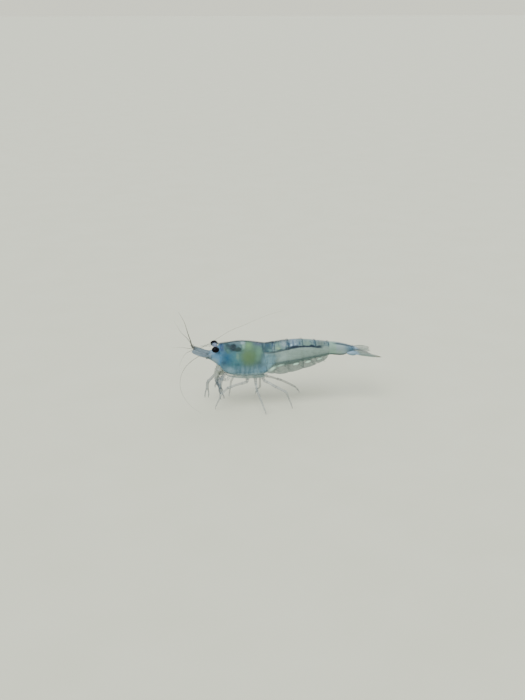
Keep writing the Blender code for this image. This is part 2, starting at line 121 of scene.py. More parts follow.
# Each leg's root on the underside as (x, y), its two bends and the tip of its claw.
CLAW_LEGS = {
    (1, "left"): ((-6.12, -0.72), (-6.95, -1.0, 4.6), (-7.05, -1.02, 3.6), (-6.75, -0.95, 2.4)),
    (2, "left"): ((-5.6, -1.05), (-6.7, -1.6, 4.65), (-7.0, -1.72, 3.4), (-6.65, -1.6, 1.6)),
    (1, "right"): ((-6.12, 0.72), (-7.0, 1.03, 4.6), (-7.2, 1.05, 3.6), (-7.25, 1.0, 2.4)),
    (2, "right"): ((-5.6, 1.05), (-7.3, 1.7, 4.3), (-8.55, 1.75, 3.0), (-8.72, 1.75, 0.6)),
}
ANTENNULE_WHIPS = {
    "outer_left": [(-10.82, -0.5, 9.42), (-10.99, -0.62, 10.3), (-11.35, -0.75, 11.5), (-11.8, -0.9, 13.2),
                   (-12.6, -1.15, 14.9)],
    "inner_left": [(-10.8, -0.26, 8.78), (-11.7, -0.65, 8.5), (-12.3, -1.0, 7.8), (-12.75, -1.5, 6.9)],
    "outer_right": [(-10.82, 0.56, 9.42), (-11.4, 0.95, 10.2), (-12.3, 1.7, 11.0), (-13.1, 2.6, 12.3)],
    "inner_right": [(-10.8, 0.26, 8.85), (-11.7, 0.5, 8.92), (-12.6, 0.95, 8.9), (-13.5, 1.6, 8.6)],
}
ANTENNA_WHIPS = {
    "left": [(-9.72, -0.68, 8.05), (-10.7, -1.5, 7.8), (-11.8, -2.8, 7.35), (-12.6, -4.2, 6.5),
             (-12.8, -5.3, 5.2), (-12.3, -5.9, 3.8), (-11.3, -6.1, 2.5), (-10.0, -6.0, 1.4)],
    "right": [(-9.72, 0.68, 8.05), (-10.5, 1.4, 7.85), (-10.4, 2.2, 7.85), (-9.2, 2.5, 8.2),
              (-7.7, 2.55, 8.95), (-5.15, 2.85, 10.4), (-2.7, 3.8, 11.0), (0.4, 5.2, 11.75),
              (3.4, 5.7, 12.4)],
}
# Each tail blade's root as (y, z), its tip, its half width, its tilt to the left as a slope, and the
# share of its length that is drawn.
UROPODS = {
    "inner_left": ((-0.62, 7.6), (16.15, -1.15, 7.0), 0.32, 0.75, 0.78),
    "outer_left": ((-1.2, 7.6), (16.65, -2.15, 7.2), 0.42, 0.15, 0.95),
    "inner_right": ((0.62, 7.6), (16.15, 1.5, 6.95), 0.37, 0.7, 0.85),
    "outer_right": ((1.2, 7.6), (16.35, 2.95, 6.95), 0.46, 0.6, 0.85),
}
# Swimmerets: where each pair's root lies and how long it is, as a share of the first.
PLEOPODS = [(0.55, 1.0), (2.15, 1.0), (4.1, 1.0), (6.05, 0.8), (7.75, 0.6)]

# ---------------------------------------------------------------- small shape functions


def taper(count, *profile):
    """Values at that many even steps, smoothed through a profile's (share, value) points."""
    return smooth(profile)(np.linspace(0, 1, count))


def rise(x, low, high):
    """0 before low and 1 after high, with a smooth step between. low may be the greater."""
    t = np.clip((x - low) / (high - low), 0, 1)
    return t * t * (3 - 2 * t)


def hump(x, centre, width):
    """A bell of height 1 round centre."""
    return np.exp(-(((x - centre) / width) ** 2))


def signed_power(value, power):
    """A power that keeps the value's sign."""
    return np.sign(value) * np.abs(value) ** power


def spline(points, steps):
    """A smooth path through 3D points, with that many steps between each two."""
    knots = np.array(points, float)
    knots = np.vstack([2 * knots[0] - knots[1], knots, 2 * knots[-1] - knots[-2]])
    path = []
    for before, a, b, after in zip(knots, knots[1:], knots[2:], knots[3:]):
        for t in np.arange(steps) / steps:
            bend = (2 * before - 5 * a + 4 * b - after) * t * t + (3 * a - before - 3 * b + after) * t ** 3
            path.append(0.5 * (2 * a + (b - before) * t + bend))
    return np.array(path + [knots[-2]])


def line(start, end, steps=8, bow=(0, 0, 0)):
    """A path from start to end that bows out by that much halfway. steps may be a list of shares."""
    t = np.linspace(0, 1, steps)[:, None] if np.isscalar(steps) else steps[:, None]
    return np.array(start) * (1 - t) + np.array(end) * t + np.array(bow) * 4 * t * (1 - t)


def run_along(path):
    """How far each point of a path lies from its start."""
    return np.insert(np.cumsum(np.linalg.norm(np.diff(path, axis=0), axis=1)), 0, 0)


def unit(vector):
    """The vectors at length 1."""
    length = np.linalg.norm(vector, axis=-1, keepdims=True)
    return vector / np.maximum(length, 1e-9)


def circle(count):
    """The sine and the cosine at each step round a circle, as a row each."""
    angle = np.radians(np.linspace(0, 360, count + 1)[None, :-1])
    return np.sin(angle), np.cos(angle)


def oval(x, middle, high, wide, side, up, power):
    """Rings of points round middle, with half sizes high and wide. side and up go round each ring."""
    y, z = signed_power(side, power) * wide, middle + signed_power(up, power) * high
    return np.stack(np.broadcast_arrays(x, y, z), -1)


def path_ways(path, level):
    """The ways along, sideways and up at each point of a path. Sideways is as near to level as it
    goes, or turns as little as it can if level is None."""
    along = unit(np.gradient(path, axis=0))
    if level is None:
        helper = [0, 1, 0] if abs(along[0][1]) < 0.8 else [1, 0, 0]
        sides = [unit(np.cross(along[0], helper))]
        for way in along[1:]:
            sides.append(unit(sides[-1] - way * (way @ sides[-1])))
        side = np.array(sides)
    else:
        side = unit(level - along * (along * level).sum(-1, keepdims=True))
    return along, side, np.cross(side, along)


def swept(path, side, up, across, over):
    """Rings of points round a path. across and over are how far each point lies sideways and up."""
    return path[:, None] + side[:, None] * across[..., None] + up[:, None] * over[..., None]


def painting(grid, *values):
    """The three painting values at each point of a grid."""
    return np.stack([np.broadcast_to(value, grid.shape[:2]) for value in values], -1)


def rim_distance(grid):
    """How far each point of a grid is from the nearest rim, along the grid's lines."""
    distances = []
    for axis in (0, 1):
        steps = np.linalg.norm(np.diff(grid, axis=axis), axis=2)
        run = np.insert(np.cumsum(steps, axis), 0, 0, axis)
        distances += [run, run.take([-1], axis) - run]
    return np.minimum.reduce(distances)


# ---------------------------------------------------------------- pieces from grids of points

HAIR_POINTS = 7  # two rings of three points and the tip
END_BULGE = 0.3  # how far a tube's ends stand out, as a share of its depth


class Form:
    """One piece's points and faces, in design millimetres, with three painting values at each point."""

    def __init__(self):
        self.points, self.lay, self.quads, self.triangles = [], [], [], []

    def add_points(self, points, lay):
        """Takes in points with their painting values, and returns the number of the first."""
        first = sum(map(len, self.points))
        self.points.append(np.reshape(points, (-1, 3)))
        self.lay.append(np.broadcast_to(np.reshape(lay, (-1, 3)), self.points[-1].shape))
        return first

    def add_quads(self, corners, turn=False):
        """Quads from four arrays of point numbers. turn flips them."""
        self.quads.append(np.stack(corners[::-1] if turn else corners, -1).reshape(-1, 4))

    def add_grid(self, grid, lay, closed=False, turn=False):
        """Quads between rows of points. closed joins the last column to the first."""
        index = self.add_points(grid, lay) + np.arange(grid[..., 0].size).reshape(grid.shape[:2])
        if closed:
            index = np.hstack([index, index[:, :1]])
        self.add_quads([index[:-1, :-1], index[:-1, 1:], index[1:, 1:], index[1:, :-1]], turn)
        return index

    def add_closed(self, grid, lay, first=None, last=None):
        """A closed solid from rings of points. A fan closes each end, to its middle or to a given tip."""
        index = self.add_grid(grid, lay, closed=True)
        for end, tip, turn in ((0, first, True), (-1, last, False)):
            number = self.add_points(grid[end].mean(0) if tip is None else tip, lay[end, 0])
            ring = index[end][::-1] if turn else index[end]
            self.triangles.append(np.stack([ring[:-1], ring[1:], np.full(len(ring) - 1, number)], -1))

    def add_plate(self, outer, wall, lay):
        """A closed thin plate: the outer face through a grid of points, the inner one that far inside."""
        normal = unit(np.cross(np.gradient(outer, axis=0), np.gradient(outer, axis=1)))
        outward = ((outer - outer.mean((0, 1))) * normal).sum() > 0
        inner = outer - (normal if outward else -normal) * wall[..., None]
        top = self.add_grid(outer, lay, turn=not outward)
        under = self.add_grid(inner, lay, turn=outward)
        ends = (top[0], under[0]), (under[-1], top[-1])
        for a, b in (*ends, (under[:, 0], top[:, 0]), (top[:, -1], under[:, -1])):
            self.add_quads([a[:-1], a[1:], b[1:], b[:-1]], turn=outward)

    def add_tube(self, path, widths, depths=None, sides=12, level=None, power=2.0):
        """A closed solid round a path, with rounded ends. widths and depths are its half sizes, and a
        list is a profile of (share, value) points. level is the way in which widths are measured, and
        may be left out on a round tube. lay: share along, distance from the nearer end, half width."""
        if isinstance(widths, list):
            widths = taper(len(path), *widths)
        depths = widths if depths is None else depths
        along, side, up = path_ways(path, level)
        over, across = (signed_power(way, 2 / power) for way in circle(sides))
        grid = swept(path, side, up, across * widths[:, None], over * depths[:, None])
        run = run_along(path)[:, None]
        lay = painting(grid, run / run[-1], np.minimum(run, run[-1] - run), widths[:, None])
        bulges = along * depths[:, None] * END_BULGE
        self.add_closed(grid, lay, path[0] - bulges[0], path[-1] + bulges[-1])

    def add_hairs(self, roots, tips, radius, bend=(0, 0, 0)):
        """Fine pointed hairs, each of two lengths with three sides. bend is how far the middle stands off."""
        roots, tips = np.array(roots), np.array(tips)
        along = unit(tips - roots)
        side = unit(np.cross(along, np.where(np.abs(along[:, 2:]) < 0.8, [0, 0, 1], [1, 0, 0])))
        up = np.cross(side, along)
        rings = []
        for share, thick in ((0, 1), (0.5, 0.7)):
            centre = roots + (tips - roots) * share + np.array(bend) * 4 * share * (1 - share)
            for angle in np.radians((0, 120, 240)):
                rings.append(centre + (side * math.cos(angle) + up * math.sin(angle)) * radius * thick)
        first = self.add_points(np.stack([*rings, tips], 1), (0, 0, 0))
        first = first + np.arange(len(roots))[:, None] * HAIR_POINTS
        for a, b in ((0, 1), (1, 2), (2, 0)):
            self.quads.append(first + [a, b, b + 3, a + 3])
            self.triangles.append(first + [a + 3, b + 3, 6])
        self.triangles.append(first + [2, 1, 0])

    def make(self, name, material, slot, nodes=(), sharp=50):
        """The piece as an object that rides on the body and stands for its nodes. slot is not used."""
        mesh = bpy.data.meshes.new(name)
        faces = [face for group in self.quads + self.triangles for face in group.tolist()]
        mesh.from_pydata((np.concatenate(self.points) + SHIFT) * MM, [], faces)
        attribute = mesh.attributes.new("lay", "FLOAT_VECTOR", "POINT")
        attribute.data.foreach_set("vector", np.concatenate(self.lay).astype(np.float32).ravel())
        mesh.validate()
        mesh.shade_smooth()
        if sharp:
            mesh.set_sharp_from_angle(angle=math.radians(sharp))
        mesh.materials.append(material)
        piece = bpy.data.objects.new(name, mesh)
        bpy.context.scene.collection.objects.link(piece)
        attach(piece, "root")
        if nodes:
            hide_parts(*nodes)


# ---------------------------------------------------------------- node materials

SPOT_DEPTH = 1000  # half the depth of a blotch across the body, which it goes right through


class Nodes:
    """Shader nodes in the making. Each method returns a socket or a few."""

    def __init__(self, tree):
        self.tree = tree

    def node(self, kind, sources=(), output=0, **settings):
        """An output of a new node. sources go to its sockets in turn, or by their names or numbers."""
        made = self.tree.nodes.new("ShaderNode" + kind)
        for name, value in settings.items():
            setattr(made, name, value)
        if isinstance(sources, tuple):
            sources = dict(enumerate(sources))
        for socket, source in sources.items():
            self.feed(made.inputs[socket], source)
        return made.outputs[output]

    def feed(self, socket, source):
        """Links a socket to another one, or sets it to a constant."""
        if isinstance(source, bpy.types.NodeSocket):
            self.tree.links.new(source, socket)
        elif socket.type == "RGBA":
            socket.default_value = (*source, 1)
        else:
            socket.default_value = source

    def parts(self, vector):
        """The sockets of a vector's X, Y and Z."""
        return self.node("SeparateXYZ", (vector,)).node.outputs

    def step(self, source, low, high, to_low=0.0, to_high=1.0):
        """A smooth step of source, from to_low at low to to_high at high."""
        sources = (source, low, high, to_low, to_high)
        return self.node("MapRange", sources, interpolation_type="SMOOTHSTEP")

    def steps(self, *steps):
        """The product of several smooth steps, each given as step takes it."""
        return self.times(*(self.step(*step) for step in steps))

    def times(self, first, *others):
        """The product of the sources."""
        for other in others:
            first = self.node("Math", (first, other), operation="MULTIPLY")
        return first

    def mix(self, share, first, second):
        """A colour between two."""
        return self.node("Mix", {0: share, 6: first, 7: second}, 2, data_type="RGBA")


class Paint(Nodes):
    """A node material in the making. Sizes are in millimetres."""

    def __init__(self, name):
        self.material = bpy.data.materials.new(name)
        self.material.use_nodes = True
        super().__init__(self.material.node_tree)
        self.shader = self.tree.nodes["Principled BSDF"]
        place = self.node("TexCoord", output="Object")
        self.place = self.node("Mapping", {"Vector": place, "Location": -SHIFT, "Scale": (1 / MM,) * 3})
        self.lay = self.parts(self.node("Attribute", output="Vector", attribute_name="lay"))

    def noise(self, size, detail=2.0, stretch=None):
        """Cloudy noise from 0 to 1, finer along an axis where stretch is more."""
        place = self.place
        if stretch:
            place = self.node("VectorMath", (place, stretch), operation="MULTIPLY")
        return self.node("TexNoise", {"Vector": place, "Scale": 1 / size, "Detail": detail})

    def cells(self, size, feature="F1", random=1.0):
        """The distance to the nearest of many scattered points, or to the edge between two."""
        sources = {"Vector": self.place, "Scale": 1 / size, "Randomness": random}
        return self.node("TexVoronoi", sources, feature=feature)

    def warped(self, amount, size):
        """The place, pushed about by noise, for irregular edges."""
        noise = self.node("TexNoise", {"Vector": self.place, "Scale": 1 / size}, "Color")
        push = (noise, (2 * amount,) * 3, (-amount,) * 3)
        push = self.node("VectorMath", push, operation="MULTIPLY_ADD")
        return self.node("VectorMath", (self.place, push), operation="ADD")

    def sum(self, base, *parts):
        """The base with (part, factor) products added to it."""
        for part, factor in parts:
            base = self.node("Math", (part, factor, base), operation="MULTIPLY_ADD")
        return base

    def most(self, first, *others):
        """The greatest of the sources."""
        for other in others:
            first = self.node("Math", (first, other), operation="MAXIMUM")
        return first

    def layers(self, base, *layers):
        """The base colour with (mask, strength, colour) layers over it, each in turn."""
        for mask, strength, colour in layers:
            base = self.mix(self.times(mask, strength), base, colour)
        return base

    def spot(self, place, centre, size, soft=0.5, lean=0.0):
        """A mask: 1 in the middle of an ellipse in the side view, 0 outside. centre and size are (x, z)."""
        ellipse = {
            "Vector": place,
            "Location": (centre[0], 0, centre[1]),
            "Rotation": (0, math.radians(lean), 0),
            "Scale": (size[0], SPOT_DEPTH, size[1]),
        }
        ball = self.node("Mapping", ellipse, vector_type="TEXTURE")
        return self.step(self.node("TexGradient", (ball,), "Fac", gradient_type="SPHERICAL"), 0.0, soft)

    def spots(self, rows, place, others=None, limit=1.0):
        """Layers of blotches: (centre, size, softness, colour, strength) each, at place, unless a row
        names one of the others, and only where limit is."""
        layers = []
        for centre, size, soft, tone, strength, *other in rows:
            mask = self.spot(others[other[0]] if other else place, centre, size, soft)
            layers.append((self.times(mask, limit), strength, tone))
        return layers

    def bump(self, height, depth):
        """A bump of that depth in millimetres."""
        sources = {"Strength": 1.0, "Distance": depth * MM, "Height": height}
        self.feed(self.shader.inputs["Normal"], self.node("Bump", sources))

    def finish(self, colour, roughness=0.3, alpha=1.0, **fixed):
        """Sets the shader. fixed holds constants for its other sockets, with _ for each space."""
        sockets = {"Base Color": colour, "Roughness": roughness, "Alpha": alpha}
        for name, value in (sockets | fixed).items():
            self.feed(self.shader.inputs[name.replace("_", " ")], value)
        return self.material


def soft_flesh(weight):
    """The Principled settings of flesh that light enters."""
    return {"Subsurface_Weight": weight, "Subsurface_Radius": (1.0, 1.0, 1.0), "Subsurface_Scale": 0.35 * MM}


# ---------------------------------------------------------------- looks

# Where a look depends on the place, x and z are the design's, in millimetres. Base colours are linear.
SLATE = (0.08, 0.13, 0.15)
DARK_SLATE = (0.025, 0.045, 0.055)
DARK_BLUE = (0.014, 0.04, 0.085)
CYAN = (0.038, 0.146, 0.193)
STOMACH = (0.003, 0.014, 0.018)
# The bright colour of the painted light that shows through between the flaps and the swimmerets.
PAINTED_GAP_LIGHT = (0.42, 0.62, 0.5)
STRIPE_BLUE = (0.005, 0.012, 0.026)
TAIL_BLUE = (0.058, 0.118, 0.165)
FLAP = (0.1, 0.15, 0.135)
GILL_PALE = (0.14, 0.235, 0.28)
GILL_DARK = (0.092, 0.18, 0.23)

# Painted light: bright spots along the belly's edge, where light shows through between the side flaps and the
# swimmerets. Each has its centre, size, softness, lean in degrees, strength.
PAINTED_GAP_LIGHT_SPOTS = [
    ((4.09, 6.5), (0.55, 0.19), 0.5, -12, 1.0),
    ((5.9, 6.7), (0.55, 0.19), 0.5, -12, 1.0),
    ((0.7, 5.92), (0.95, 0.34), 0.9, -36, 1.0),
    ((1.85, 6.42), (0.85, 0.24), 0.9, -14, 0.7),
    ((7.62, 7.02), (0.5, 0.17), 0.6, -12, 0.8),
]
# Blotches: centre, size, softness, colour, strength and, where it isn't ragged, the kind of edge.
ORGAN_SPOTS = [
    ((-4.9, 7.6), (2.3, 2.3), 0.8, (0.055, 0.168, 0.2), 0.9, "soft"),
    ((-7.25, 7.9), (1.35, 2.1), 0.8, (0.075, 0.24, 0.42), 0.95, "soft"),
    ((-5.85, 7.75), (1.1, 1.7), 1.0, (0.02, 0.095, 0.18), 0.95),
    ((-6.3, 7.0), (0.6, 0.35), 0.8, (0.02, 0.055, 0.1), 0.7),
    ((-6.6, 9.2), (0.45, 0.75), 0.6, (0.015, 0.05, 0.125), 0.9),
    ((-5.85, 9.1), (0.5, 0.75), 0.6, (0.02, 0.075, 0.07), 0.85),
    ((-5.65, 8.7), (0.4, 0.45), 0.7, (0.06, 0.14, 0.12), 0.85),
    ((-0.1, 7.2), (1.1, 1.2), 0.9, (0.18, 0.335, 0.395), 0.9),
    ((-2.6, 8.1), (2.3, 2.5), 0.8, (0.082, 0.17, 0.095), 0.95, "soft"),
    ((-4.35, 8.0), (0.3, 0.8), 0.8, (0.16, 0.28, 0.18), 0.6),
    ((-2.8, 7.95), (1.6, 1.6), 1.0, (0.098, 0.168, 0.07), 1.0, "torn"),
    ((-1.25, 8.5), (0.75, 1.1), 0.9, (0.115, 0.245, 0.155), 0.85),
    ((-1.4, 7.6), (0.6, 0.6), 0.9, (0.13, 0.25, 0.17), 0.55),
    ((-1.2, 9.5), (1.2, 0.35), 0.8, (0.075, 0.1, 0.13), 0.9),
    ((-4.6, 9.85), (1.5, 0.4), 0.8, (0.12, 0.175, 0.185), 0.9),
    ((-2.75, 9.4), (0.95, 0.75), 1.0, (0.13, 0.26, 0.115), 0.95),
    ((-4.95, 9.2), (0.85, 0.7), 0.6, STOMACH, 1.0, "torn"),
    ((-5.6, 9.4), (0.6, 0.35), 0.8, STOMACH, 0.75, "torn"),
    ((-4.2, 8.95), (0.7, 0.4), 0.6, (0.009, 0.028, 0.02), 0.9, "torn"),
    # Painted highlight: two pale spots high on the back of the head shield.
    ((-3.5, 9.7), (0.45, 0.3), 0.8, (0.25, 0.36, 0.37), 0.9),
    ((-3.45, 9.3), (0.35, 0.45), 0.8, (0.18, 0.33, 0.24), 0.8),
    ((-4.4, 6.8), (0.5, 0.4), 0.8, (0.03, 0.085, 0.11), 0.8),
    ((-0.65, 9.05), (0.3, 0.8), 0.9, (0.02, 0.045, 0.055), 0.9),
    ((-0.6, 5.8), (0.7, 0.8), 0.9, (0.14, 0.285, 0.39), 0.75),
    ((-1.7, 5.75), (1.2, 0.6), 0.9, (0.18, 0.32, 0.38), 0.6),
    # Painted light: a pale spot that lifts the shade low at the front of the gills, where the mass curves in.
    ((-5.5, 5.8), (1.2, 0.9), 1.0, (0.22, 0.36, 0.42), 0.9),
]
BACK_SPOTS = [
    ((-0.05, 9.05), (0.85, 1.0), 0.5, (0.025, 0.06, 0.072), 0.95),
    ((0.3, 8.65), (0.5, 0.3), 0.8, (0.09, 0.18, 0.17), 0.8),
    ((1.55, 9.1), (0.75, 0.75), 0.9, (0.1, 0.18, 0.14), 0.95),
    ((1.5, 8.9), (0.5, 0.22), 0.9, (0.2, 0.32, 0.18), 0.7),
    ((2.4, 9.4), (0.7, 0.5), 1.0, (0.2, 0.26, 0.27), 0.9),
    ((3.85, 9.5), (0.95, 0.8), 1.0, (0.145, 0.205, 0.25), 0.9),
    ((5.85, 9.4), (1.3, 0.8), 1.0, (0.12, 0.19, 0.15), 0.95),
    ((7.9, 9.2), (1.3, 0.7), 1.0, (0.11, 0.145, 0.12), 0.9),
    *(((x, 9.4), (0.13, 0.5), 0.9, DARK_BLUE, 0.8) for x in (0.77, 2.85, 3.2, 3.75, 4.7, 6.85)),
    ((8.75, 9.35), (0.22, 0.2), 0.8, DARK_SLATE, 0.8),
    *(((x, z), (0.14, 0.14), 0.8, (0.4, 0.55, 0.7), 0.8) for x, z in ((3.5, 9.3), (4.15, 9.38))),
]
FLESH_SPOTS = [
    ((2.0, 7.6), (1.9, 1.2), 1.0, (0.27, 0.37, 0.35), 0.7),
    ((0.25, 7.9), (0.7, 0.35), 0.9, (0.09, 0.17, 0.185), 0.65),
]
TAIL_SPOTS = [
    ((10.6, 7.7), (0.8, 0.4), 0.9, (0.205, 0.285, 0.235), 0.9),
    ((12.5, 8.35), (1.6, 1.1), 0.9, TAIL_BLUE, 0.95),
    ((12.8, 7.2), (1.2, 0.5), 0.8, (0.26, 0.33, 0.4), 0.8),
]
# Limbs and other see-through flesh: tint, alpha, blotches.
LIMB_LOOKS = {
    "clear_limb": ((0.22, 0.25, 0.25), 0.36),
    "clear_arm": ((0.15, 0.18, 0.19), 0.45, ((-6.95, 3.0), (0.8, 1.3), 0.9, (0.07, 0.1, 0.13), 0.9)),
    "clear_palp": ((0.3, 0.33, 0.29), 0.5, ((-7.2, 3.2), (1.5, 1.8), 0.9, (0.07, 0.1, 0.14), 0.95)),
    "mouth_flesh": ((0.42, 0.46, 0.4), 0.4),
    "clear_stem": ((0.11, 0.155, 0.18), 0.75, ((-10.6, 9.0), (0.75, 0.75), 0.9, (0.03, 0.045, 0.055), 0.9)),
    "face_flesh": (
        (0.08, 0.2, 0.33), 0.92,
        ((-8.7, 8.2), (1.6, 1.5), 0.9, (0.07, 0.12, 0.15), 0.95),
        ((-7.85, 7.2), (1.2, 0.8), 0.9, (0.17, 0.24, 0.27), 0.9),
        ((-7.0, 8.9), (0.6, 0.7), 0.9, (0.05, 0.12, 0.24), 0.8),
    ),
    "eyestalk_skin": ((0.115, 0.145, 0.215), 0.92),
    "swimmeret_leaf": ((0.13, 0.18, 0.155), 0.2),
}
CLEARING = {"clear_arm": (-6.6, -6.0)}  # the places along X between which such limbs clear at their roots
# The scales and the tail fan: tint, alpha.
FIN_LOOKS = {
    "clear_scale": ((0.12, 0.165, 0.19), 0.75),
    "clear_fin": ((0.115, 0.165, 0.135), 0.6),
    "faint_fin": ((0.2, 0.25, 0.21), 0.38),
    "dark_fin": ((0.06, 0.08, 0.07), 0.8),
}


def shade(colour, factor):
    """A lighter or darker colour."""
    return tuple(min(1.0, factor * part) for part in colour)


def chromatophores(paint, size, share):
    """Small star-like pigment cells: a mask of dots that fill more of the surface where share is high."""
    reach = paint.sum(-0.15, (paint.noise(size * 0.5, 1.0), 0.3))
    return paint.step(paint.sum(paint.cells(size), (reach, 1)), share, paint.sum(share, (1, -0.16)))


def shell_pigment(paint, size, share, strength):
    """Pigment cells of two sizes, as they lie in every shell plate."""
    dots, fine = chromatophores(paint, size, share), chromatophores(paint, 0.07, 0.3)
    return paint.most(paint.times(dots, strength), paint.times(fine, 0.4))


def finish_shell(paint, colour, alpha):
    """The pitted, uneven gloss of every shell plate."""
    paint.bump(paint.cells(0.09), 0.005)
    return paint.finish(colour, paint.step(paint.noise(0.5), 0.3, 0.7, 0.14, 0.26), alpha, IOR=1.25)


def shield_paint():
    """The clear head shield: a dark keel line, blue pigment cells that are thickest on the head, and a pale
    lower edge and rim, partly a cloudy edge and partly painted light over the shade below the shield. lay:
    share along the shield, share down its side, distance from its rim."""
    paint = Paint("clear_shield")
    x, _, z = paint.parts(paint.place)
    share = paint.sum(0.14, (paint.step(x, -3.6, -5.6), 0.08), (paint.noise(1.6, 3.0), 0.22))
    pigment = shell_pigment(paint, 0.15, share, 0.8)
    keel = paint.step(paint.lay[1], 0.08, 0.02)
    # Partly the shell's cloudy edge and partly painted light: the rim and the lower band are pale and denser,
    # which lifts the shade along the shield's lower edge.
    rim = paint.step(paint.lay[2], 0.09, 0.0)
    low = paint.step(z, 5.3, 4.9)
    colour = paint.layers(
        (0.04, 0.07, 0.085),
        (low, 1, (0.22, 0.32, 0.32)),
        (pigment, 1, DARK_BLUE),
        (keel, 0.9, DARK_SLATE),
        (rim, 0.5, (0.2, 0.28, 0.28)),
    )
    return finish_shell(paint, colour, paint.sum(0.08, (pigment, 0.2), (keel, 0.35), (rim, 0.1), (low, 0.47)))


def ring_paint():
    """The clear abdominal rings: speckled backs with dark rear rims, painted light in bright spots along the
    belly's edge where light shows through under the flaps, and cloudy side flaps. lay: share along the plate,
    share down its side, distance from its rim."""
    paint = Paint("clear_rings")
    x, _, z = paint.parts(paint.place)
    along, down, to_rim = paint.lay
    ragged = paint.warped(0.06, 0.2)
    pigment = shell_pigment(paint, 0.14, paint.sum(0.1, (paint.noise(0.9, 3.0), 0.3)), 0.7)
    pigment = paint.times(pigment, paint.step(down, 0.55, 0.35, 0.15, 1.0))
    flap = paint.step(down, 0.66, 0.74)
    hem = paint.steps((along, 0.9, 0.97), (down, 0.42, 0.3))
    rim = paint.times(paint.step(to_rim, 0.07, 0.0), flap)
    clouds = (paint.noise(0.35, 3.0), 0.2, 0.8, 0.8, 1.0)
    cloudy = paint.steps(clouds, (along, 0.0, 0.16, 0.1, 1.0), (along, 1.0, 0.84, 0.55, 1.0))
    cloudy = paint.times(flap, cloudy)
    back_stripe = paint.steps((down, 0.09, 0.03), (x, 4.2, 1.4))
    slope = paint.sum(x, (z, -0.8), (paint.sum(-0.6, (paint.noise(0.5, 3.0), 1.2)), 1))
    gill = paint.steps((slope, -4.0, -5.1), (paint.parts(ragged)[2], 8.6, 7.4))
    # Painted light: bright spots along the belly's edge where light shows through under the flaps.
    gap_light = paint.most(*[
        paint.times(paint.spot(ragged, centre, size, soft, lean), strength)
        for centre, size, soft, lean, strength in PAINTED_GAP_LIGHT_SPOTS
    ])
    colour = paint.layers(
        (0.06, 0.1, 0.11),
        (flap, 1, FLAP),
        (gill, 1, (0.17, 0.31, 0.36)),
        (pigment, 1, DARK_BLUE),
        (hem, paint.step(paint.noise(0.3), 0.4, 0.6, 0.3, 0.8), DARK_BLUE),
        (rim, 0.3, SLATE),
        (back_stripe, 0.9, DARK_SLATE),
        (gap_light, 1, PAINTED_GAP_LIGHT),
    )
    more = ((cloudy, 0.59), (pigment, 0.22), (hem, 0.25), (gill, 0.3), (back_stripe, 0.4), (gap_light, 0.4))
    return finish_shell(paint, colour, paint.sum(0.02, *more))


def organ_paint():
    """What shows through the head shield: cheek, stomach, gills and the green saddle, with a painted
    highlight on the back and painted light that lifts the shade on the lower side and underside. lay: place
    along X, share down the side."""
    paint = Paint("organs")
    ragged = paint.warped(0.25, 0.3)
    edges = {"soft": paint.warped(0.3, 0.8), "torn": paint.warped(0.45, 0.32)}
    z = paint.parts(ragged)[2]
    grain = paint.noise(0.2, 3.0)
    columns = paint.step(paint.noise(0.5, stretch=(1, 0.3, 0.14)), 0.42, 0.58)
    colour = paint.layers(
        paint.mix(paint.step(grain, 0.35, 0.65), (0.055, 0.105, 0.125), (0.09, 0.15, 0.16)),
        (paint.step(z, 7.0, 6.2), 0.95, paint.mix(columns, GILL_DARK, GILL_PALE)),
        *paint.spots(ORGAN_SPOTS, ragged, edges),
        # Partly the pale lower edge of the mass and partly painted light that lifts the shade where it curves
        # under.
        (paint.step(z, 5.6, 4.95), 0.95, (0.47, 0.65, 0.67)),
        (paint.step(grain, 0.55, 0.7), 0.18, DARK_BLUE),
        # Painted light: the underside, which faces down, is painted pale against its shade.
        (paint.step(paint.lay[1], 0.74, 0.86), 0.85, (0.55, 0.64, 0.62)),
    )
    paint.bump(grain, 0.03)
    return paint.finish(colour, 0.5, IOR=1.2, **soft_flesh(0.15))


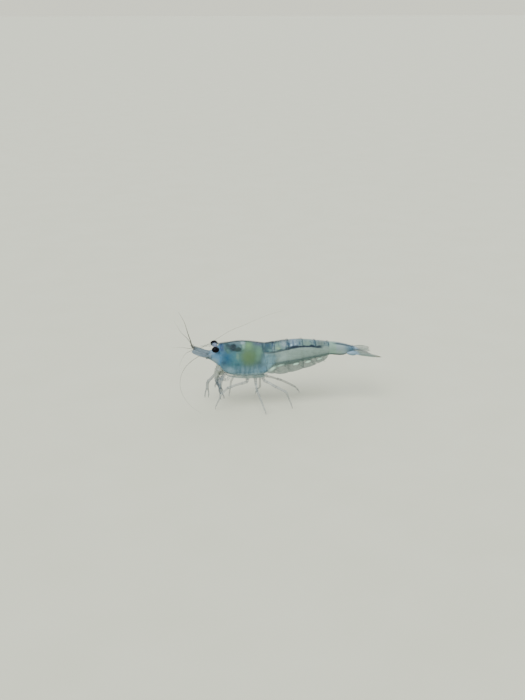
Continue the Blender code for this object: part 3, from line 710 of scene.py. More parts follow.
def muscle_paint():
    """The tail muscle: a pigmented back over the dark stripe, and clear grey flesh below it.
    lay: height over the belly line, height over the stripe, how far up its section."""
    paint = Paint("muscle")
    x = paint.parts(paint.place)[0]
    over_belly, over_stripe, up = paint.lay
    ragged = paint.warped(0.2, 0.25)
    above = paint.sum(over_stripe, (paint.sum(-0.08, (paint.noise(0.3), 0.16)), 1))
    upper = paint.step(above, 0.0, 0.12)
    fibres = paint.noise(0.16, stretch=(0.3, 1, 1))
    flesh = paint.mix(paint.step(fibres, 0.3, 0.7), (0.172, 0.238, 0.217), (0.225, 0.303, 0.268))
    back = paint.mix(paint.step(paint.noise(0.2, 3.0), 0.38, 0.62), SLATE, (0.12, 0.19, 0.18))
    gill = paint.steps((x, 1.2, -0.1), (above, 0.0, -0.3))
    dashes = (paint.noise(0.24, stretch=(1, 0.3, 0.4)), 0.52, 0.62)
    speckle = paint.times(upper, paint.steps(dashes, (x, 9.2, 8.6)))
    edge = paint.steps((over_belly, 0.3, 0.1), (paint.noise(0.5), 0.3, 0.65, 0.35, 0.75))
    swell = paint.step(paint.noise(0.9, 1.0, (1, 0.2, 0.2)), 0.35, 0.65, 0.12, 0.26)
    dark = paint.spot(paint.place, (5.2, 9.3), (3.8, 3.0), 0.6)
    stripe = paint.steps((above, -0.28, -0.12), (above, swell, paint.sum(swell, (1, -0.14))), (x, 8.3, 7.7),
                         (x, -0.6, 1.2, 0.45, 1.0))
    patches = (paint.noise(0.35, 3.0), 0.25, 0.55, 0.8, 1.0)
    crest = paint.steps((up, 0.74, 0.84), (up, 1.0, 0.96, 0.3, 1.0), (x, 9.3, 10.4), patches)
    colour = paint.layers(
        flesh,
        (paint.step(above, -0.02, 0.16), 1, back),
        *paint.spots(BACK_SPOTS, ragged, limit=upper),
        (gill, 0.9, (0.17, 0.32, 0.37)),
        *paint.spots(FLESH_SPOTS, ragged),
        (speckle, 0.5, DARK_BLUE),
        (paint.step(over_belly, 1.5, 0.1), 0.5, (0.08, 0.11, 0.1)),
        (edge, 1, (0.035, 0.055, 0.053)),
        (stripe, paint.sum(0.75, (dark, 0.2)), STRIPE_BLUE),
        (paint.step(x, 8.95, 9.3), 0.9, (0.19, 0.29, 0.235)),
        (paint.step(x, 10.0, 10.3), 0.9, (0.2, 0.262, 0.272)),
        *paint.spots(TAIL_SPOTS, ragged),
        (crest, 0.9, DARK_SLATE),
        (paint.steps((over_belly, 0.6, 0.3), (x, 8.9, 9.3)), 0.9, DARK_SLATE),
    )
    paint.bump(fibres, 0.015)
    return paint.finish(colour, 0.45, IOR=1.2, **soft_flesh(0.25))


def limb_paint(name, tint, alpha, *spots):
    """See-through limbs: darker and denser at the joints, with a few pigment cells and some blotches.
    lay: share along, distance from the nearer end."""
    paint = Paint(name)
    joint = paint.step(paint.lay[1], 0.12, 0.02)
    dots = chromatophores(paint, 0.13, 0.24)
    colour = paint.layers(
        paint.mix(paint.noise(0.3), tint, shade(tint, 1.25)),
        (joint, 0.2, shade(tint, 0.5)),
        (dots, 0.4, CYAN),
        *paint.spots(spots, paint.place),
    )
    alpha = paint.sum(alpha, (paint.most(joint, dots), 0.1))
    if name in CLEARING:
        x = paint.parts(paint.place)[0]
        alpha = paint.times(alpha, paint.step(x, *CLEARING[name], 1.0, 0.3))
    paint.bump(paint.noise(0.08), 0.006)
    return paint.finish(colour, 0.28, alpha, IOR=1.3)


def fin_paint(name, tint, alpha):
    """The tail fan and the scales: clear blades with a denser rib and fine veins. lay: share along,
    share across."""
    paint = Paint(name)
    x = paint.parts(paint.place)[0]
    rib = paint.step(paint.lay[1], 0.16, 0.0)
    dots = chromatophores(paint, 0.14, 0.26)
    veins = paint.step(paint.noise(0.12, 1.0, (0.12, 1, 1)), 0.4, 0.65)
    tail_root = paint.steps((x, 13.8, 12.9), (x, 0.0, 1.0))
    colour = paint.layers(
        tint,
        (veins, 0.3, shade(tint, 0.6)),
        (rib, 0.5, shade(tint, 0.4)),
        (dots, 0.4, CYAN),
        (tail_root, 0.8, (0.17, 0.27, 0.36)),
        *paint.spots([((12.95, 8.35), (0.3, 0.22), 0.7, DARK_SLATE, 0.8)], paint.place),
        (paint.step(x, 15.2, 16.4), 0.9, (0.11, 0.1, 0.055)),
    )
    dense = paint.most(rib, paint.step(paint.lay[1], 0.85, 1.0), tail_root, dots)
    paint.bump(veins, 0.01)
    alpha = paint.sum(paint.step(x, 15.0, 17.0, alpha, alpha * 1.4), (dense, 0.25))
    return paint.finish(colour, 0.25, alpha, IOR=1.3)


def feeler_paint(name, alpha):
    """The whips: ringed, brownish and see-through, and clearer towards the tip. lay: share along."""
    paint = Paint(name)
    rings = paint.node("Math", (paint.times(paint.lay[0], 420.0),), operation="SINE")
    colour = paint.mix(paint.step(rings, 0.2, 0.9), (0.055, 0.06, 0.055), (0.13, 0.13, 0.1))
    paint.bump(rings, 0.006)
    return paint.finish(colour, 0.35, paint.step(paint.lay[0], 0.0, 1.0, alpha, alpha * 0.4), IOR=1.3)


def cornea_paint():
    """A black, wet, finely faceted cornea."""
    paint = Paint("cornea")
    facets = paint.cells(0.05, "DISTANCE_TO_EDGE", random=0.15)
    colour = paint.mix(paint.step(facets, 0.0, 0.2), (0.003, 0.003, 0.005), (0.001, 0.001, 0.002))
    paint.bump(paint.step(facets, 0.0, 0.25), 0.0006)
    return paint.finish(colour, 0.1, IOR=1.12)


def hair_paint():
    """Pale bristles that let light through."""
    paint = Paint("hairs")
    return paint.finish(paint.mix(paint.noise(0.4), (0.26, 0.29, 0.28), (0.42, 0.45, 0.4)), 0.4, 0.3)


# ---------------------------------------------------------------- head shield and what lies in it

SHIELD_REACH = 146  # degrees from the back to the lower rim
# The shield's front and rear margins, as (degrees, x).
FRONT_MARGIN = smooth([(0, -7.25), (12, -7.2), (26, -6.8), (42, -6.68), (54, -6.92), (61, -7.42), (68, -7.02),
                       (85, -6.95), (110, -6.95), (132, -6.75), (146, -6.3)])
REAR_MARGIN = smooth([(0, -0.45), (40, -0.25), (90, -0.02), (120, 0.0), (136, -0.12), (146, -0.5)])
SHIELD_WALL, RING_WALL = 0.07, 0.055


def shield_surface(x, degrees, lift=0.0):
    """Points of the head shield's form. degrees runs from 0 at the back down each side."""
    top, bottom = back_line(x), carapace_edge(x)
    middle = bottom + (top - bottom) * SHIELD_MIDDLE
    side, up = np.sin(np.radians(degrees)), np.cos(np.radians(degrees))
    power = 2 / np.where(up > 0, SHIELD_TOP_POWER, SHIELD_BOTTOM_POWER)
    reach = np.where(up > 0, top - middle, middle - bottom)
    return oval(x, middle, reach + lift, half_width(x) + lift, side, up, power)


def shield_relief(x, degrees):
    """The shield's keel, grooves and thicker lower rim, as a lift in millimetres."""
    a = np.abs(degrees)
    keel = 0.1 * hump(a, 0, 8) * rise(x, -4.4, -6.6)
    neck = -0.06 * hump(x, -4.3 - 1.5 * (a / 90) ** 1.4, 0.16) * rise(a, 14, 28) * rise(a, 100, 80)
    gill = -0.035 * hump(a, 64 + 4 * np.sin(x), 4) * rise(x, -5.4, -4.6) * rise(x, -0.6, -1.6)
    rim = 0.035 * hump(a, SHIELD_REACH, 4)
    orbit = 0.05 * hump(a, 61, 5) * rise(x, -5.6, -6.9)
    return keel + neck + gill + rim + orbit


def build_carapace(shell):
    """The head shield, open below, with its front and rear margins cut to their curves."""
    rows = np.linspace(0, 1, 120)[:, None] ** 1.15
    degrees = np.linspace(-SHIELD_REACH, SHIELD_REACH, 141)[None, :]
    front, rear = FRONT_MARGIN(np.abs(degrees)), REAR_MARGIN(np.abs(degrees))
    x = front + (rear - front) * rows
    outer = shield_surface(x, degrees, shield_relief(x, degrees))
    rim = rim_distance(outer)
    form = Form()
    form.add_plate(outer, SHIELD_WALL * rise(rim, -0.04, 0.12),
                   painting(outer, rows, np.abs(degrees) / SHIELD_REACH, rim))
    form.make("carapace_shell", shell, "shell", ["carapace"])


def build_organs(flesh):
    """The mass in the head shield: gill ridges on its sides and a closed breast below."""
    x = np.linspace(-7.12, -0.03, 150)[:, None]
    degrees = np.linspace(-180, 180, 145)[None, :-1]
    a = np.abs(degrees)
    gills = rise(a, 78, 98) * rise(a, 158, 142) * rise(x, -6.3, -5.6) * rise(x, -0.7, -1.3)
    ridges = 0.03 * np.sin(2 * math.pi * (x + 0.004 * (a - 110)) / 0.62) * gills
    ends = 0.25 * rise(x, -6.9, -7.12) + 0.04 * rise(x, -0.15, -0.03)
    grid = shield_surface(x, degrees, -0.13 - 0.2 * rise(a, 95, 150) + ridges - ends)
    form = Form()
    form.add_closed(grid, painting(grid, x, a / 180, 0))
    form.make("thorax_organs", flesh, "shell")


def build_rostrum(shell, hair):
    """The toothed beak: a blade with a strengthened middle that grows out of the shield's keel."""
    root, tip = np.array([-6.5, 0, 9.5]), np.array([-9.75, 0, 9.24])
    form, bristles = Form(), Form()
    thick = taper(60, (0, 0.3), (0.15, 0.17), (0.4, 0.1), (0.85, 0.055), (1, 0.01))
    deep = [(0, 0.1), (0.2, 0.22), (0.5, 0.17), (0.85, 0.08), (1, 0.012)]
    form.add_tube(line(root, tip, 60), deep, thick, 20, (0, 0, 1), power=1.5)
    crest = smooth([(0, 0.1), (0.2, 0.2), (0.5, 0.15), (0.85, 0.06), (1, 0)])
    sole = smooth([(0.5, 0.15), (0.85, 0.06)])
    # The teeth: share along the blade, height of the root, and how far the tooth reaches on and up.
    teeth = [(at, crest(at), 0.22 - 0.099 * at, 0.1 - 0.05 * at) for at in np.linspace(0.03, 0.9, 13)]
    teeth += [(at, -sole(at), 0.2, -0.07) for at in (0.52, 0.68, 0.82)]
    roots = np.array([root + (tip - root) * at + [0, 0, height] for at, height, _, _ in teeth])
    reaches = np.array([[-on, 0, up] for _, _, on, up in teeth])
    for start, reach in zip(roots, reaches):
        curve = line(start - reach * 0.3, start + reach, 6, (0, 0, 0.012))
        form.add_tube(curve, [(0, 0.055), (0.6, 0.04), (1, 0.004)], sides=6)
    form.make("rostrum_blade", shell, "shell", ["rostrum"])
    for share in (0.3, 0.6, 0.9):
        tips = roots + reaches * (0.7 + 0.3 * share) + [0, 0, 0.02 * share]
        bristles.add_hairs(roots - [0.03, 0, 0], tips, 0.006)
    bristles.make("rostrum_bristles", hair, "shell")


# ---------------------------------------------------------------- head

# The face in front of the shield: x, top, bottom, half width.
FACE = [(-8.66, 8.18, 7.65, 0.66), (-8.5, 8.3, 7.48, 0.84), (-8.2, 8.42, 7.24, 0.92), (-7.8, 8.6, 6.93, 1.0),
        (-7.4, 8.84, 6.62, 1.08), (-6.9, 9.1, 6.3, 1.12), (-6.3, 9.35, 6.2, 1.05)]
STALK = [(0, 0.26), (0.35, 0.29), (0.65, 0.34), (0.85, 0.38), (1, 0.36)]


def build_head(flesh):
    """The face in front of the shield: brow, cheeks and the mouth's upper lip."""
    x = np.linspace(FACE[0][0], FACE[-1][0], 60)[:, None]
    top, bottom, width = (smooth([(station[0], station[k]) for station in FACE])(x) for k in (1, 2, 3))
    side, up = circle(64)
    brow = 0.06 * hump(np.abs(side), 0.55, 0.3) * (up > 0) * rise(x, -6.9, -7.8)
    furrow = 1 - 0.07 * hump(side, 0, 0.16) * (up > 0) - 0.05 * hump(x, -7.95, 0.08) * np.abs(side)
    high, wide = ((top - bottom) / 2 + brow) * furrow, (width + brow) * furrow
    grid = oval(x, (top + bottom) / 2, high, wide, side, up, 0.8)
    form = Form()
    form.add_closed(grid, painting(grid, x, 0, 0))
    form.make("face", flesh, "shell", ["head"], sharp=0)


def build_eyes(cornea, stalk_skin):
    """Each eye is a black cap, wider than it is high, on the wide end of a short stalk."""
    turn = np.radians(np.linspace(EYE_CAP_START, 90, 34))
    for name, side in SIDES:
        centre, inner = np.array(EYE) * [1, side, 1], np.array([-7.3, 0.25 * side, 8.95])
        out = unit(centre - inner)
        form = Form()
        gaze = unit(out + [0, 0, 0.3])
        form.add_tube(gaze * np.sin(turn)[:, None], np.maximum(np.cos(turn), 0.02), sides=40)
        form.points = [centre + points * EYE_SIZE for points in form.points]
        form.make(f"eye_{name}_cornea", cornea, "cornea", [f"eye_{name}"], sharp=0)
        form = Form()
        form.add_tube(line(inner, centre + out * 0.05 - [0, 0, 0.14], 18), STALK, sides=24)
        form.make(f"eye_{name}_stalk", stalk_skin, "shell", [f"eyestalk_{name}"], sharp=0)


# Steps along a segment, closer at its ends, and its width at each as a share of its taper.
SEGMENT_SHARES = (1 - np.cos(np.linspace(0, math.pi, 22))) / 2
SEGMENT = smooth([(0, 0.1), (0.02, 0.6), (0.06, 0.93), (0.14, 1.0), (0.5, 0.93), (0.85, 0.98), (0.93, 1.12),
                  (0.98, 0.75), (1, 0.15)])(SEGMENT_SHARES)


def add_segments(form, *segments):
    """Stiff lengths of a limb, a little waisted, whose outer ends flare round the next joint. Each has
    its start, its end, its first and last half width, and maybe its flatness, its bow and its level."""
    for start, end, first, last, *others in segments:
        flat, bow, level = others + [1, (0, 0, 0), None][len(others):]
        radius = SEGMENT * (first + (last - first) * SEGMENT_SHARES)
        form.add_tube(line(start, end, SEGMENT_SHARES, bow), radius, radius * flat, level=level)


def leaf_widths(count, widest, blunt=0.6):
    """Half widths of a leaf: narrow root, widest past the middle, rounded tip."""
    share = np.linspace(0, 1, count)
    return np.maximum(widest * rise(share, -0.25, 0.45) * (1 - share ** 5) ** blunt, 0.012)


def add_blade(form, path, level, widths, thick, sides=24):
    """A thin blade along a path, with a rib along its middle. lay: share along, share across."""
    _, side, up = path_ways(path, level)
    over, across = circle(sides)
    body = thick * (signed_power(over, 0.8) + 0.9 * np.sign(over) * hump(across, 0, 0.13))
    closing = np.minimum(1, widths / (0.25 * widths.max()))
    grid = swept(path, side, up, across * widths[:, None], body * closing[:, None])
    form.add_closed(grid, painting(grid, np.linspace(0, 1, len(path))[:, None], np.abs(across), 0))


def add_fringe(form, path, level, widths, sides, start, stop, length, spacing, radius=0.008):
    """Bristles along the edges of a blade, from share start to share stop. sides holds 1, -1 or both."""
    run = run_along(path)
    count = max(2, int(run[-1] * (stop - start) / spacing))
    at = np.linspace(start, stop, count) * run[-1]

    def at_roots(values):
        return np.stack([np.interp(at, run, column) for column in values.T], -1)

    along, side, _ = (unit(at_roots(way)) for way in path_ways(path, level))
    up = np.cross(side, along)
    wave = np.sin(np.arange(count) * 2.4)[:, None]
    reach = length * (1 + 0.12 * np.sin(np.arange(count) * 5.1))[:, None]
    forward = np.linspace(0.6, 1.1, count)[:, None]
    for way in sides:
        roots = at_roots(path) + side * (way * np.interp(at, run, widths))[:, None]
        heading = unit(side * way * (1.15 - forward) + along * forward + up * 0.05 * wave)
        form.add_hairs(roots, roots + heading * reach, radius, along * 0.03 + up * 0.02 * wave)


def build_feeler_bases(limb, fin, hair):
    """The stems of the antennules and antennae, and the leaf-like scale over each antenna."""
    stem_lengths = ((-0.02, 0.5, 0.26, 0.21), (0.48, 0.76, 0.21, 0.19), (0.74, 1, 0.19, 0.18))
    for name, side in SIDES:
        form = Form()
        base, end = np.array([-8.35, 0.33 * side, 8.24]), np.array([-10.65, 0.36 * side, 8.98])
        for start, stop, first, last in stem_lengths:
            a, b = base + (end - base) * start, base + (end - base) * stop
            add_segments(form, (a, b, first, last, 0.85, (0, 0, 0), (0, 1, 0)))
        spike = line((-8.5, 0.58 * side, 8.3), (-9.55, 0.66 * side, 8.68), 10)
        form.add_tube(spike, [(0, 0.09), (0.5, 0.06), (1, 0.006)], sides=8)
        form.make(f"antennule_{name}_stem", limb, "shell", [f"antennule_{name}"])
        form = Form()
        add_segments(
            form,
            ((-8.1, 0.66 * side, 7.8), (-8.88, 0.72 * side, 7.87), 0.38, 0.3),
            ((-8.75, 0.6 * side, 7.86), (-9.25, 0.62 * side, 7.97), 0.22, 0.2),
            ((-9.2, 0.62 * side, 7.97), (-9.72, 0.66 * side, 8.06), 0.19, 0.15),
        )
        form.make(f"antenna_{name}_stem", limb, "shell", [f"antenna_base_{name}"])
        form, fringe = Form(), Form()
        path = line((-8.45, 1.0 * side, 8.08), (-10.92, 1.2 * side, 9.0), 26, (0, 0.08 * side, 0.02))
        widths = leaf_widths(26, 0.52, 0.45)
        level = np.array([0, side * math.cos(0.5), -math.sin(0.5)])
        add_blade(form, path, level, widths, 0.045)
        outer = path + level * side * widths[:, None] * 0.93
        form.add_tube(outer[2:23], [(0, 0.05), (0.8, 0.045), (1, 0.005)], sides=6)
        form.make(f"scale_{name}_blade", fin, "shell", [f"antenna_scale_{name}"])
        add_fringe(fringe, path, level, widths, (-side,), 0.12, 0.97, 0.3, 0.035)
        add_fringe(fringe, path, level, widths, (side,), 0.9, 0.99, 0.26, 0.03)
        fringe.make(f"scale_{name}_fringe", hair, "shell")


def build_whips(feeler, faint):
    """The antennules' paired whips and the two long antennae, ringed and tapering to hairs."""
    for name, points in ANTENNULE_WHIPS.items():
        root = (-10.55, points[0][1] * 0.8, points[0][2] - 0.15 * (points[0][2] > 9))
        thick = 0.13 if name.startswith("outer") else 0.08
        form = Form()
        widths = [(0, thick), (0.15, thick * 0.85), (0.4, thick * 0.6), (1, 0.018)]
        form.add_tube(spline([root, *points], 16), widths, sides=8)
        tone = feeler if name == "outer_left" else faint
        form.make(f"antennule_whip_{name}_fine", tone, "feeler", [f"antennule_whip_{name}"])
    for name, side in SIDES:
        path = spline([(-9.5, 0.65 * side, 8.05), *ANTENNA_WHIPS[name]], 18)
        form = Form()
        form.add_tube(path, [(0, 0.1), (0.1, 0.065), (0.5, 0.045), (1, 0.018)], sides=8)
        form.make(f"antenna_{name}_whip", faint, "feeler", [f"antenna_{name}_near", f"antenna_{name}_far"])


# ---------------------------------------------------------------- legs


def underside(x, y):
    """The height of the head shield's underside."""
    bottom = carapace_edge(x)
    reach = (back_line(x) - bottom) * SHIELD_MIDDLE
    inward = 1 - abs(y / half_width(x)) ** SHIELD_BOTTOM_POWER
    return bottom + reach - reach * inward ** (1 / SHIELD_BOTTOM_POWER)


def belly_joint(x, y, step=0.05):
    """The point just below the shield at (x, y), and the way straight out of it."""
    along = (underside(x + step, y) - underside(x - step, y)) / (2 * step)
    across = (underside(x, y + step) - underside(x, y - step)) / (2 * step)
    out = unit(np.array([along, across, -1.0]))
    return np.array([x, y, underside(x, y)]) + out * GAP, out


def add_spines(form, start, end, side, count, length, radius=0.012):
    """A row of small spines along a limb, leaning to its outer end."""
    roots = start + (end - start) * np.linspace(0.15, 0.95, count)[:, None]
    form.add_hairs(roots, roots + (unit(np.array(side)) + unit(end - start) * 0.9) * length, radius)


def add_brush(form, tip, heading, count, length):
    """The tuft of bristles at the end of a claw's finger."""
    turns = np.arange(count)[:, None] * 2.4
    heading = unit(heading)
    side = unit(np.cross(heading, [0.3, 1.0, 0.2]))
    up = np.cross(side, heading)
    opening = 0.35 * np.sqrt((np.arange(count)[:, None] + 0.5) / count)
    ways = heading + (side * np.cos(turns) + up * np.sin(turns)) * opening
    roots = tip - heading * 0.12 + (ways - heading) * 0.1
    form.add_hairs(roots, roots + unit(ways) * length, 0.008)


def build_walking_legs(limb, hair):
    """The three pairs that the animal stands on, with a hooked claw at each foot."""
    for (number, name), (hip_socket, *joints) in WALKING_LEGS.items():
        root, out = belly_joint(*hip_socket)
        knee, wrist, foot = np.array(joints)
        hip, ankle = root + out * 0.45, foot + [0, 0, FOOT_HEIGHT]
        thigh, shin = unit(knee - hip), unit(wrist - knee)
        heel = ankle + unit(wrist - ankle) * 0.28
        joint, cut = hip + (knee - hip) * 0.28, knee - thigh * 0.5
        upper, lower, bristles = Form(), Form(), Form()
        add_segments(
            upper,
            (root - out * 0.55, root + out * 0.12, 0.3, 0.28),
            (root + out * 0.02, hip + thigh * 0.1, 0.26, 0.24),
            (hip + thigh * 0.02, joint, 0.22, 0.21),
            (joint - thigh * 0.05, cut, 0.2, 0.19, 1, (0, 0, 0.05)),
        )
        upper.make(f"leg_{number}_{name}_thigh", limb, "limb", [f"leg_{number}_upper_{name}"])
        add_segments(
            lower,
            (cut - thigh * 0.06, knee + thigh * 0.03, 0.205, 0.2),
            (knee - shin * 0.06, wrist, 0.19, 0.18, 1, (0, 0, 0.03)),
            (wrist - unit(heel - wrist) * 0.05, heel, 0.16, 0.12, 1, 0.04 * unit(wrist - foot)),
        )
        claw = spline([heel, (heel + ankle) / 2, ankle - [0, 0, 0.06], foot + [0, 0, 0.01]], 5)
        lower.add_tube(claw, [(0, 0.075), (0.3, 0.085), (0.75, 0.055), (1, 0.012)], sides=8)
        lower.make(f"leg_{number}_{name}_shin", limb, "limb", [f"leg_{number}_lower_{name}"])
        back = np.array([0.5, -0.4 if name == "right" else 0.4, -0.2])
        add_spines(bristles, wrist, heel, back, 12, 0.07)
        add_spines(bristles, heel, foot + [0, 0, 0.08], back, 6, 0.045, 0.01)
        add_spines(bristles, joint, cut, -back, 7, 0.06)
        bristles.make(f"leg_{number}_{name}_spines", hair, "limb")


def build_claw_legs(limb, hair):
    """The two pairs that end in small pincers with brushes."""
    for (number, name), (hip_socket, *joints) in CLAW_LEGS.items():
        root, out = belly_joint(*hip_socket)
        elbow, wrist, tip = np.array(joints)
        reach = tip - wrist
        palm, hip = wrist + reach * 0.45, root + out * 0.4
        middle = hip + (elbow - hip) * 0.35
        opening = unit(np.cross(reach, [0, 1, 0])) * 0.3
        form, bristles = Form(), Form()
        add_segments(
            form,
            (root - out * 0.5, root + out * 0.1, 0.3, 0.28),
            (root, hip, 0.27, 0.26),
            (hip - out * 0.08, middle, 0.26, 0.25),
            (middle, elbow, 0.25, 0.26),
            (elbow - unit(wrist - elbow) * 0.1, wrist, 0.2, 0.25),
            (wrist - unit(reach) * 0.08, palm + unit(reach) * 0.08, 0.24, 0.23, 0.75, (0, 0, 0), opening),
        )
        for way in (opening, -opening):
            start, end = palm + way * 0.35, tip + way * 0.85
            thick = taper(12, (0, 0.11), (0.5, 0.1), (0.85, 0.085), (1, 0.03))
            form.add_tube(line(start, end, 12, way * 0.22), thick, thick * 0.8, 10)
            add_brush(bristles, end, end - start, 22, 0.26)
        form.make(f"claw_leg_{number}_{name}_arm", limb, "limb", [f"claw_leg_{number}_{name}"])
        bristles.make(f"claw_leg_{number}_{name}_brush", hair, "limb")


def build_mouthparts(flesh):
    """The lobes of the maxillae and of the first two maxillipeds, packed under the mouth."""
    form = Form()
    for side in (-1, 1):
        for k in range(4):
            start = np.array([-7.0 + 0.2 * k, 0.36 * side, 6.4 - 0.05 * k])
            end = start + [-0.2, -0.06 * side, -1.75 + 0.1 * k]
            add_segments(form, (start, end, 0.28, 0.2, 0.6, (-0.08, 0, 0)))
    form.make("mouthparts", flesh, "limb")


def build_mouth_legs(limb, hair):
    """The third maxillipeds, which hang down below the mouth and bear rows of bristles."""
    for name, side in SIDES:
        root, out = belly_joint(-6.75, MOUTH_LEG_Y * side)
        hip = root + out * 0.45
        joints = ((-7.3, 4.9), (-7.35, 3.9), (-7.1, 2.95))
        knee, wrist, tip = (np.array([x, MOUTH_LEG_Y * side, z]) for x, z in joints)
        fingertip = wrist + (tip - wrist) * 0.6
        form, bristles = Form(), Form()
        add_segments(
            form,
            (root - out * 0.4, hip, 0.4, 0.42),
            (hip - out * 0.1, knee, 0.42, 0.38, 0.8),
            (knee + [0, 0, 0.1], wrist, 0.36, 0.31, 0.9),
            (wrist + [0, 0, 0.08], fingertip, 0.29, 0.19),
            (fingertip + [0, 0, 0.05], tip, 0.17, 0.06),
        )
        form.make(f"maxilliped_{name}_palp", limb, "limb", [f"maxilliped_{name}"])
        for heading in ((-1, 0.3, 0), (-0.6, -0.7, 0), (0.9, 0.2, 0)):
            add_spines(bristles, knee, wrist, heading, 12, 0.13, 0.008)
            add_spines(bristles, wrist, tip, heading, 14, 0.16, 0.008)
        add_brush(bristles, tip, tip - wrist, 16, 0.2)
        bristles.make(f"maxilliped_{name}_bristles", hair, "limb")


# ---------------------------------------------------------------- abdomen

# Front, rear, how far its flap leans back, how much it stands out, share of its length at the flap's end.
PLATES = [
    (-0.35, 1.05, 0.1, 0.0, 0.85),
    (0.6, 3.1, 0.1, 0.05, 0.96),
    (2.65, 5.2, 0.2, 0.02, 0.97),
    (4.75, 7.1, 0.2, 0.01, 0.97),
    (6.6, 9.05, 0.2, 0.0, 0.66),
]
SIDE_SHARE = 0.55  # share of a plate's arch that lies above the widest place
LAST_RING_FRONT = 8.75
ARCH_POWER = 2 / 2.2


def ring_surface(x, arch, out, edge):
    """Points of an abdominal arch. arch runs from -1 at the left flap's edge over the back to 1."""
    a = np.abs(arch)
    top, belly, width = back_line(x) + out, belly_line(x), half_width(x) + out
    middle = belly + (top - belly) * 0.4
    angle = np.minimum(a / SIDE_SHARE, 1) * math.pi / 2
    down = np.clip((a - SIDE_SHARE) / (1 - SIDE_SHARE), 0, 1)
    y = np.where(a < SIDE_SHARE, np.sin(angle) ** ARCH_POWER * width, width * (1 - 0.1 * down ** 2))
    z = np.where(a < SIDE_SHARE, middle + np.cos(angle) ** ARCH_POWER * (top - middle),
                 middle + (edge - middle) * down)
    return np.stack(np.broadcast_arrays(x, y * np.sign(arch), z), -1)


def build_abdomen(shell):
    """The first five rings, which overlap each other and end in side flaps."""
    rows, arch = np.linspace(0, 1, 56)[:, None], np.linspace(-1, 1, 121)[None, :]
    down = np.clip((np.abs(arch) - SIDE_SHARE) / (1 - SIDE_SHARE), 0, 1)
    for number, (front, rear, lean, out, narrow) in enumerate(PLATES, 1):
        length = (rear - front) * (1 - (1 - narrow) * down ** 2.6)
        x = (front + rear) / 2 + lean * down ** 2 + (rows - 0.5) * length
        bulge = out - 0.04 + 0.05 * rise(rows, 0.05, 0.9) + 0.015 * hump(rows, 0.93, 0.06)
        bulge = bulge - 0.015 * hump(rows, 0.2, 0.06) * (1 - down) + 0.04 * hump(down, 1, 0.12)
        outer = ring_surface(x, arch, bulge, flap_edge(x) + 0.14 * np.abs(2 * rows - 1) ** 3)
        rim = rim_distance(outer)
        form = Form()
        form.add_plate(outer, RING_WALL * rise(rim, -0.04, 0.1), painting(outer, rows, np.abs(arch), rim))
        form.make(f"abdomen_{number}_plate", shell, "shell", [f"abdomen_{number}"])


def last_belly(x):
    """The belly line, drawn higher than the solid's towards the tail."""
    return belly_line(x) + 0.3 * rise(x, 11.2, 12.5)


def build_last_ring(shell):
    """The long sixth ring, closed below, with a flared rear rim."""
    x = np.linspace(LAST_RING_FRONT, TAIL_ROOT, 70)[:, None]
    side, up = circle(80)
    flare = 0.05 * hump(x, TAIL_ROOT - 0.05, 0.15) - 0.05 * rise(x, 9.2, LAST_RING_FRONT)
    top, bottom = back_line(x) + flare, last_belly(x) - flare
    outer = oval(x, (top + bottom) / 2, (top - bottom) / 2, half_width(x) + flare, side, up, ARCH_POWER)
    centre = outer.mean(1, keepdims=True)
    start = x - LAST_RING_FRONT
    lay = painting(outer, start / 4, 0.5 * np.abs(side), np.minimum(start, TAIL_ROOT - x))
    form = Form()
    a = form.add_grid(outer, lay, closed=True)
    b = form.add_grid(centre + (outer - centre) * 0.93, lay, closed=True, turn=True)
    for first, second in ((b[0], a[0]), (a[-1], b[-1])):
        form.add_quads([first[:-1], first[1:], second[1:], second[:-1]])
    form.make("abdomen_6_plate", shell, "shell", ["abdomen_6"])


def build_muscle(flesh):
    """The muscle inside the rings: round above, boxy below, with shallow folds along the belly."""
    x = np.linspace(-0.55, 12.95, 230)[:, None]
    side, up = circle(108)
    waist = sum(0.012 * hump(x, joint, 0.3) for joint in RING_JOINTS) * rise(up, 0.3, 0.8)
    slim = 0.13 + waist + 0.25 * rise(x, 12.4, 12.95) - 0.05 * rise(x, 9.0, 10.0) + 0.2 * rise(x, -0.2, -0.55)
    folds = 0.08 * (up < 0) * sum(hump(x, joint - 0.9, 0.5) for joint in RING_JOINTS[:-1])
    top, bottom = back_line(x) - slim, last_belly(x) + 0.03 + 0.12 * rise(x, 8.6, 9.6) - folds
    power = np.where(up > 0, 0.85, 0.5)
    grid = oval(x, (top + bottom) / 2, (top - bottom) / 2, half_width(x) - slim, side, up, power)
    hang = muscle_hang(x)
    grid[..., 2] -= hang * (up < 0) * np.abs(side * up * 2) ** 0.7 * rise(np.abs(side), 0.2, 0.7)
    z = grid[..., 2]
    form = Form()
    form.add_closed(grid, painting(grid, z - belly_line(x) + hang, z - stripe_line(x), up))
    form.make("tail_muscle", flesh, "shell", sharp=0)


